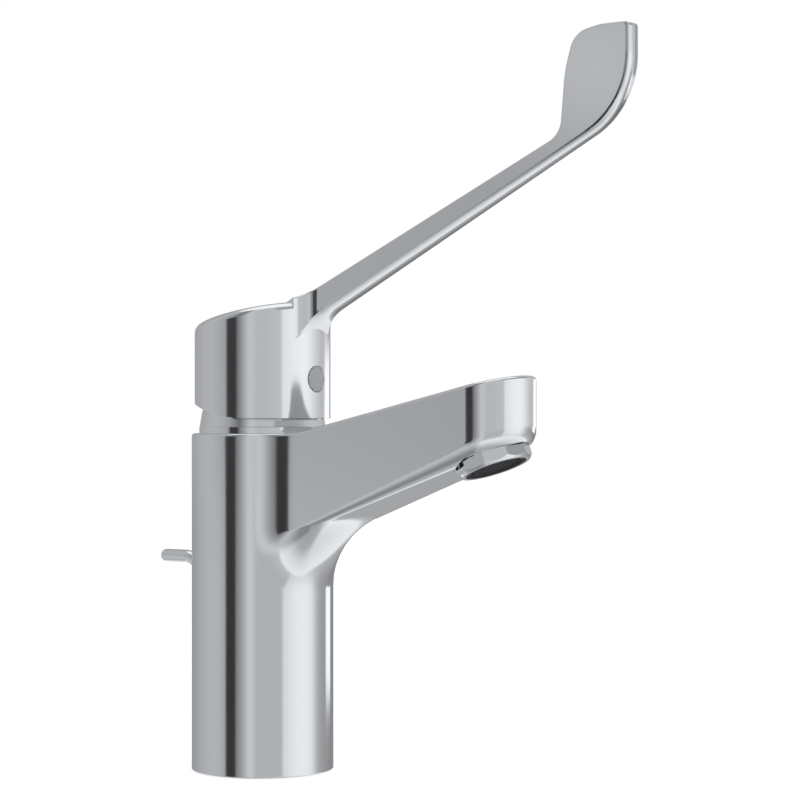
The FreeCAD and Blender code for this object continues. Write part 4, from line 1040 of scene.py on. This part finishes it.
class TAP_OT_stage(Operator):
    """Pale floor, and out of the camera's sight a light tent of grey walls, black flags and white boxes"""
    bl_idname = "tap.stage"
    bl_label = "Stage"

    def execute(self, context):
        studio = context.scene.tap.studio
        self.world(context)
        self.floor(studio)
        self.tent(studio)
        context.scene.view_settings.view_transform = "Standard"
        return {"FINISHED"}

    def world(self, context):
        """White for camera, glossy and transmission rays, and plain soft light for the rest."""
        world = bpy.data.worlds.new("studio")
        context.scene.world = world
        world.use_nodes = True
        tree = world.node_tree
        white = tree.nodes["Background"]
        white.inputs["Color"].default_value = (1.0, 1.0, 1.0, 1.0)
        white.inputs["Strength"].default_value = 1.0
        soft = node(tree, "ShaderNodeBackground", {"Color": (0.9, 0.93, 1.0, 1.0), "Strength": 0.7})
        path = node(tree, "ShaderNodeLightPath").outputs
        either = arithmetic(tree)
        seen = either("MAXIMUM", path["Is Camera Ray"], path["Is Glossy Ray"])
        seen = either("MAXIMUM", seen, path["Is Transmission Ray"])
        mix = node(tree, "ShaderNodeMixShader", {"Fac": seen, 1: soft.outputs[0], 2: white.outputs[0]})
        link(tree, mix.outputs[0], tree.nodes["World Output"].inputs["Surface"])

    def new_light(self, name):
        """A material without its surface shader, its node tree and where its surface goes."""
        material = bpy.data.materials.new(name)
        material.use_nodes = True
        tree = material.node_tree
        tree.nodes.remove(tree.nodes["Principled BSDF"])
        return material, tree, tree.nodes["Material Output"].inputs["Surface"]

    def floor(self, studio):
        """A pale round floor that takes the tap's shadow."""
        mesh = bpy.data.meshes.new("floor")
        turns = [2 * math.pi * k / FLOOR_CORNERS for k in range(FLOOR_CORNERS)]
        ring = [(studio.floor_radius * math.cos(turn), studio.floor_radius * math.sin(turn), -FLOOR_GAP)
                for turn in turns]
        mesh.from_pydata(ring, [], [list(range(FLOOR_CORNERS))])
        floor = add("floor", mesh)
        material, tree, surface = self.new_light("floor")
        matt = node(tree, "ShaderNodeBsdfDiffuse", {"Color": list(studio.floor) + [1.0]})
        seen = node(tree, "ShaderNodeLightPath").outputs["Is Camera Ray"]
        glow = node(tree, "ShaderNodeEmission", {
            "Color": (1.0, 1.0, 1.0, 1.0), "Strength": arithmetic(tree)("MULTIPLY", seen, FLOOR_GLOW)})
        both = node(tree, "ShaderNodeAddShader", {0: matt.outputs[0], 1: glow.outputs[0]})
        link(tree, both.outputs[0], surface)
        mesh.materials.append(material)
        floor.visible_glossy = False

    def tent(self, studio):
        """A round tent whose level of light depends on bearing and height."""
        mesh = bpy.data.meshes.new("tent")
        shell = bmesh.new()
        bmesh.ops.create_icosphere(shell, subdivisions=5, radius=studio.tent_radius)
        bmesh.ops.reverse_faces(shell, faces=shell.faces)
        shell.to_mesh(mesh)
        shell.free()
        tent = add("tent", mesh)
        tent.location = (0.0, 0.0, studio.height)
        material, tree, surface = self.new_light("tent")
        level = self.light(tree)
        parts = {number: arithmetic(tree)("MULTIPLY", level, part) for number, part in enumerate(TINT)}
        tint = node(tree, "ShaderNodeCombineXYZ", parts)
        glow = node(tree, "ShaderNodeEmission", {"Color": tint.outputs[0]})
        link(tree, glow.outputs[0], surface)
        mesh.materials.append(material)
        tent.visible_camera = False
        tent.visible_shadow = False

    def light(self, tree):
        """Level of the tent's light: walls, flags, strips, a spot, the table below and the ceiling."""
        place = node(tree, "ShaderNodeSeparateXYZ", {0: node(tree, "ShaderNodeTexCoord").outputs["Object"]})
        made = arithmetic(tree)
        x, y, z = place.outputs
        bearing = made("MULTIPLY", made("ARCTAN2", x, made("MULTIPLY", y, -1.0)), 180 / math.pi)
        bearing = made("FLOORED_MODULO", made("SUBTRACT", bearing, SEAM), 360.0)
        out = made("SQRT", made("ADD", made("MULTIPLY", x, x), made("MULTIPLY", y, y)))
        height = made("MULTIPLY", made("ARCTAN2", z, out), 180 / math.pi)

        def step(value, low, high):
            """0 below one angle, 1 above another, with a soft rise."""
            return node(tree, "ShaderNodeMapRange", {"Value": value, "From Min": low, "From Max": high},
                        interpolation_type="SMOOTHSTEP").outputs["Result"]

        def between(value, low, high, soft):
            """1 between two angles, with soft ends."""
            past_low, past_high = (step(value, end - soft, end + soft) for end in (low, high))
            return made("SUBTRACT", past_low, past_high)

        def within(first, last, low, high, edge):
            """1 in a box of bearings and elevations, with soft edges."""
            return made("MULTIPLY", between(bearing, first - SEAM, last - SEAM, edge[0]),
                        between(height, low, high, edge[1]))

        def mixed(share_of, low, high):
            """low where the share is 0, high where it is 1."""
            return made("ADD", made("MULTIPLY", low, made("SUBTRACT", 1.0, share_of)),
                        made("MULTIPLY", high, share_of))

        def levels(value, first, last, pairs):
            """Level of light at an angle, from pairs of angle and level."""
            share_of = made("DIVIDE", made("SUBTRACT", value, first), last - first)
            ramp = node(tree, "ShaderNodeValToRGB", {"Fac": share_of})
            stops = ramp.color_ramp.elements
            while len(stops) < len(pairs):
                stops.new(0.5)
            # A stop's colour ends at 1, so it holds half the level
            for stop, (degrees, level) in zip(stops, pairs):
                stop.position = (degrees - first) / (last - first)
                stop.color = [level / 2] * 3 + [1.0]
            return made("MULTIPLY", ramp.outputs["Color"], 2.0)

        low_wall, high_wall = (levels(bearing, 0.0, 360.0, [(turn - SEAM, light) for turn, light in wall])
                               for wall in (LOW_WALL, HIGH_WALL))
        lighter = made("ADD", made("MULTIPLY", low_wall, LIGHTER_SHARE), LIGHTER_MORE)
        low_wall = mixed(step(height, TABLE_TOP, LIGHTER_FROM), lighter, low_wall)
        level = mixed(step(height, *WALL_CHANGE), low_wall, high_wall)
        for box in FLAGS:
            level = mixed(within(*box, FLAG_EDGE), level, FLAG_LEVEL)
        for box in STRIPS:
            level = mixed(within(*box, STRIP_EDGE), level, STRIP_LEVEL)
        aside = made("SUBTRACT", bearing, SPOT[0] - SEAM)
        over = made("SUBTRACT", height, SPOT[1])
        apart = made("SQRT", made("ADD", made("MULTIPLY", aside, aside), made("MULTIPLY", over, over)))
        spot = made("SUBTRACT", 1.0, step(apart, 0.0, SPOT[2]))
        level = made("ADD", level, made("MULTIPLY", spot, SPOT[3]))
        table = levels(height, -90.0, 0.0, TABLE)
        in_shade = between(bearing, TABLE_SHADE[0] - SEAM, TABLE_SHADE[1] - SEAM, SHADE_EDGE)
        table = mixed(in_shade, table, made("MULTIPLY", table, SHADE_SHARE))
        level = mixed(step(height, TABLE_TOP - TABLE_EDGE, TABLE_TOP + TABLE_EDGE), table, level)
        level = mixed(step(height, CEILING_START, CEILING_START + CEILING_BLEND), level, CEILING_LEVEL)
        return mixed(within(*OPENING, OPENING_EDGE), level, OPENING_LEVEL)


class TAP_PT_sidebar(Panel):
    """Steps that make the tap, and its sizes and colours"""
    bl_idname = "TAP_PT_sidebar"
    bl_label = "Basin mixer tap"
    bl_space_type = "VIEW_3D"
    bl_region_type = "UI"
    bl_category = "Tap"

    def draw(self, context):
        for step in STEPS:
            self.layout.operator(step.bl_idname)
        for group in (context.scene.tap.casting, context.scene.tap.lever, context.scene.tap.spray,
                      context.scene.tap.finish, context.scene.tap.studio):
            column = self.layout.column(align=True)
            for name in group.bl_rna.properties.keys():
                if name not in ("rna_type", "name"):
                    column.prop(group, name)


GROUPS = (CastingSizes, LeverSizes, SpraySizes, Finish, Studio, Settings)
STEPS = (TAP_OT_camera, TAP_OT_casting, TAP_OT_handle, TAP_OT_trim, TAP_OT_spray, TAP_OT_inner_parts,
         TAP_OT_stage)


def register():
    for group in GROUPS + STEPS + (TAP_PT_sidebar,):
        bpy.utils.register_class(group)
    bpy.types.Scene.tap = PointerProperty(type=Settings)


def unregister():
    del bpy.types.Scene.tap
    for group in reversed(GROUPS + STEPS + (TAP_PT_sidebar,)):
        bpy.utils.unregister_class(group)


def main():
    register()
    for step in STEPS:
        group, name = step.bl_idname.split(".")
        getattr(getattr(bpy.ops, group), name)()


if __name__ == "__main__":
    main()
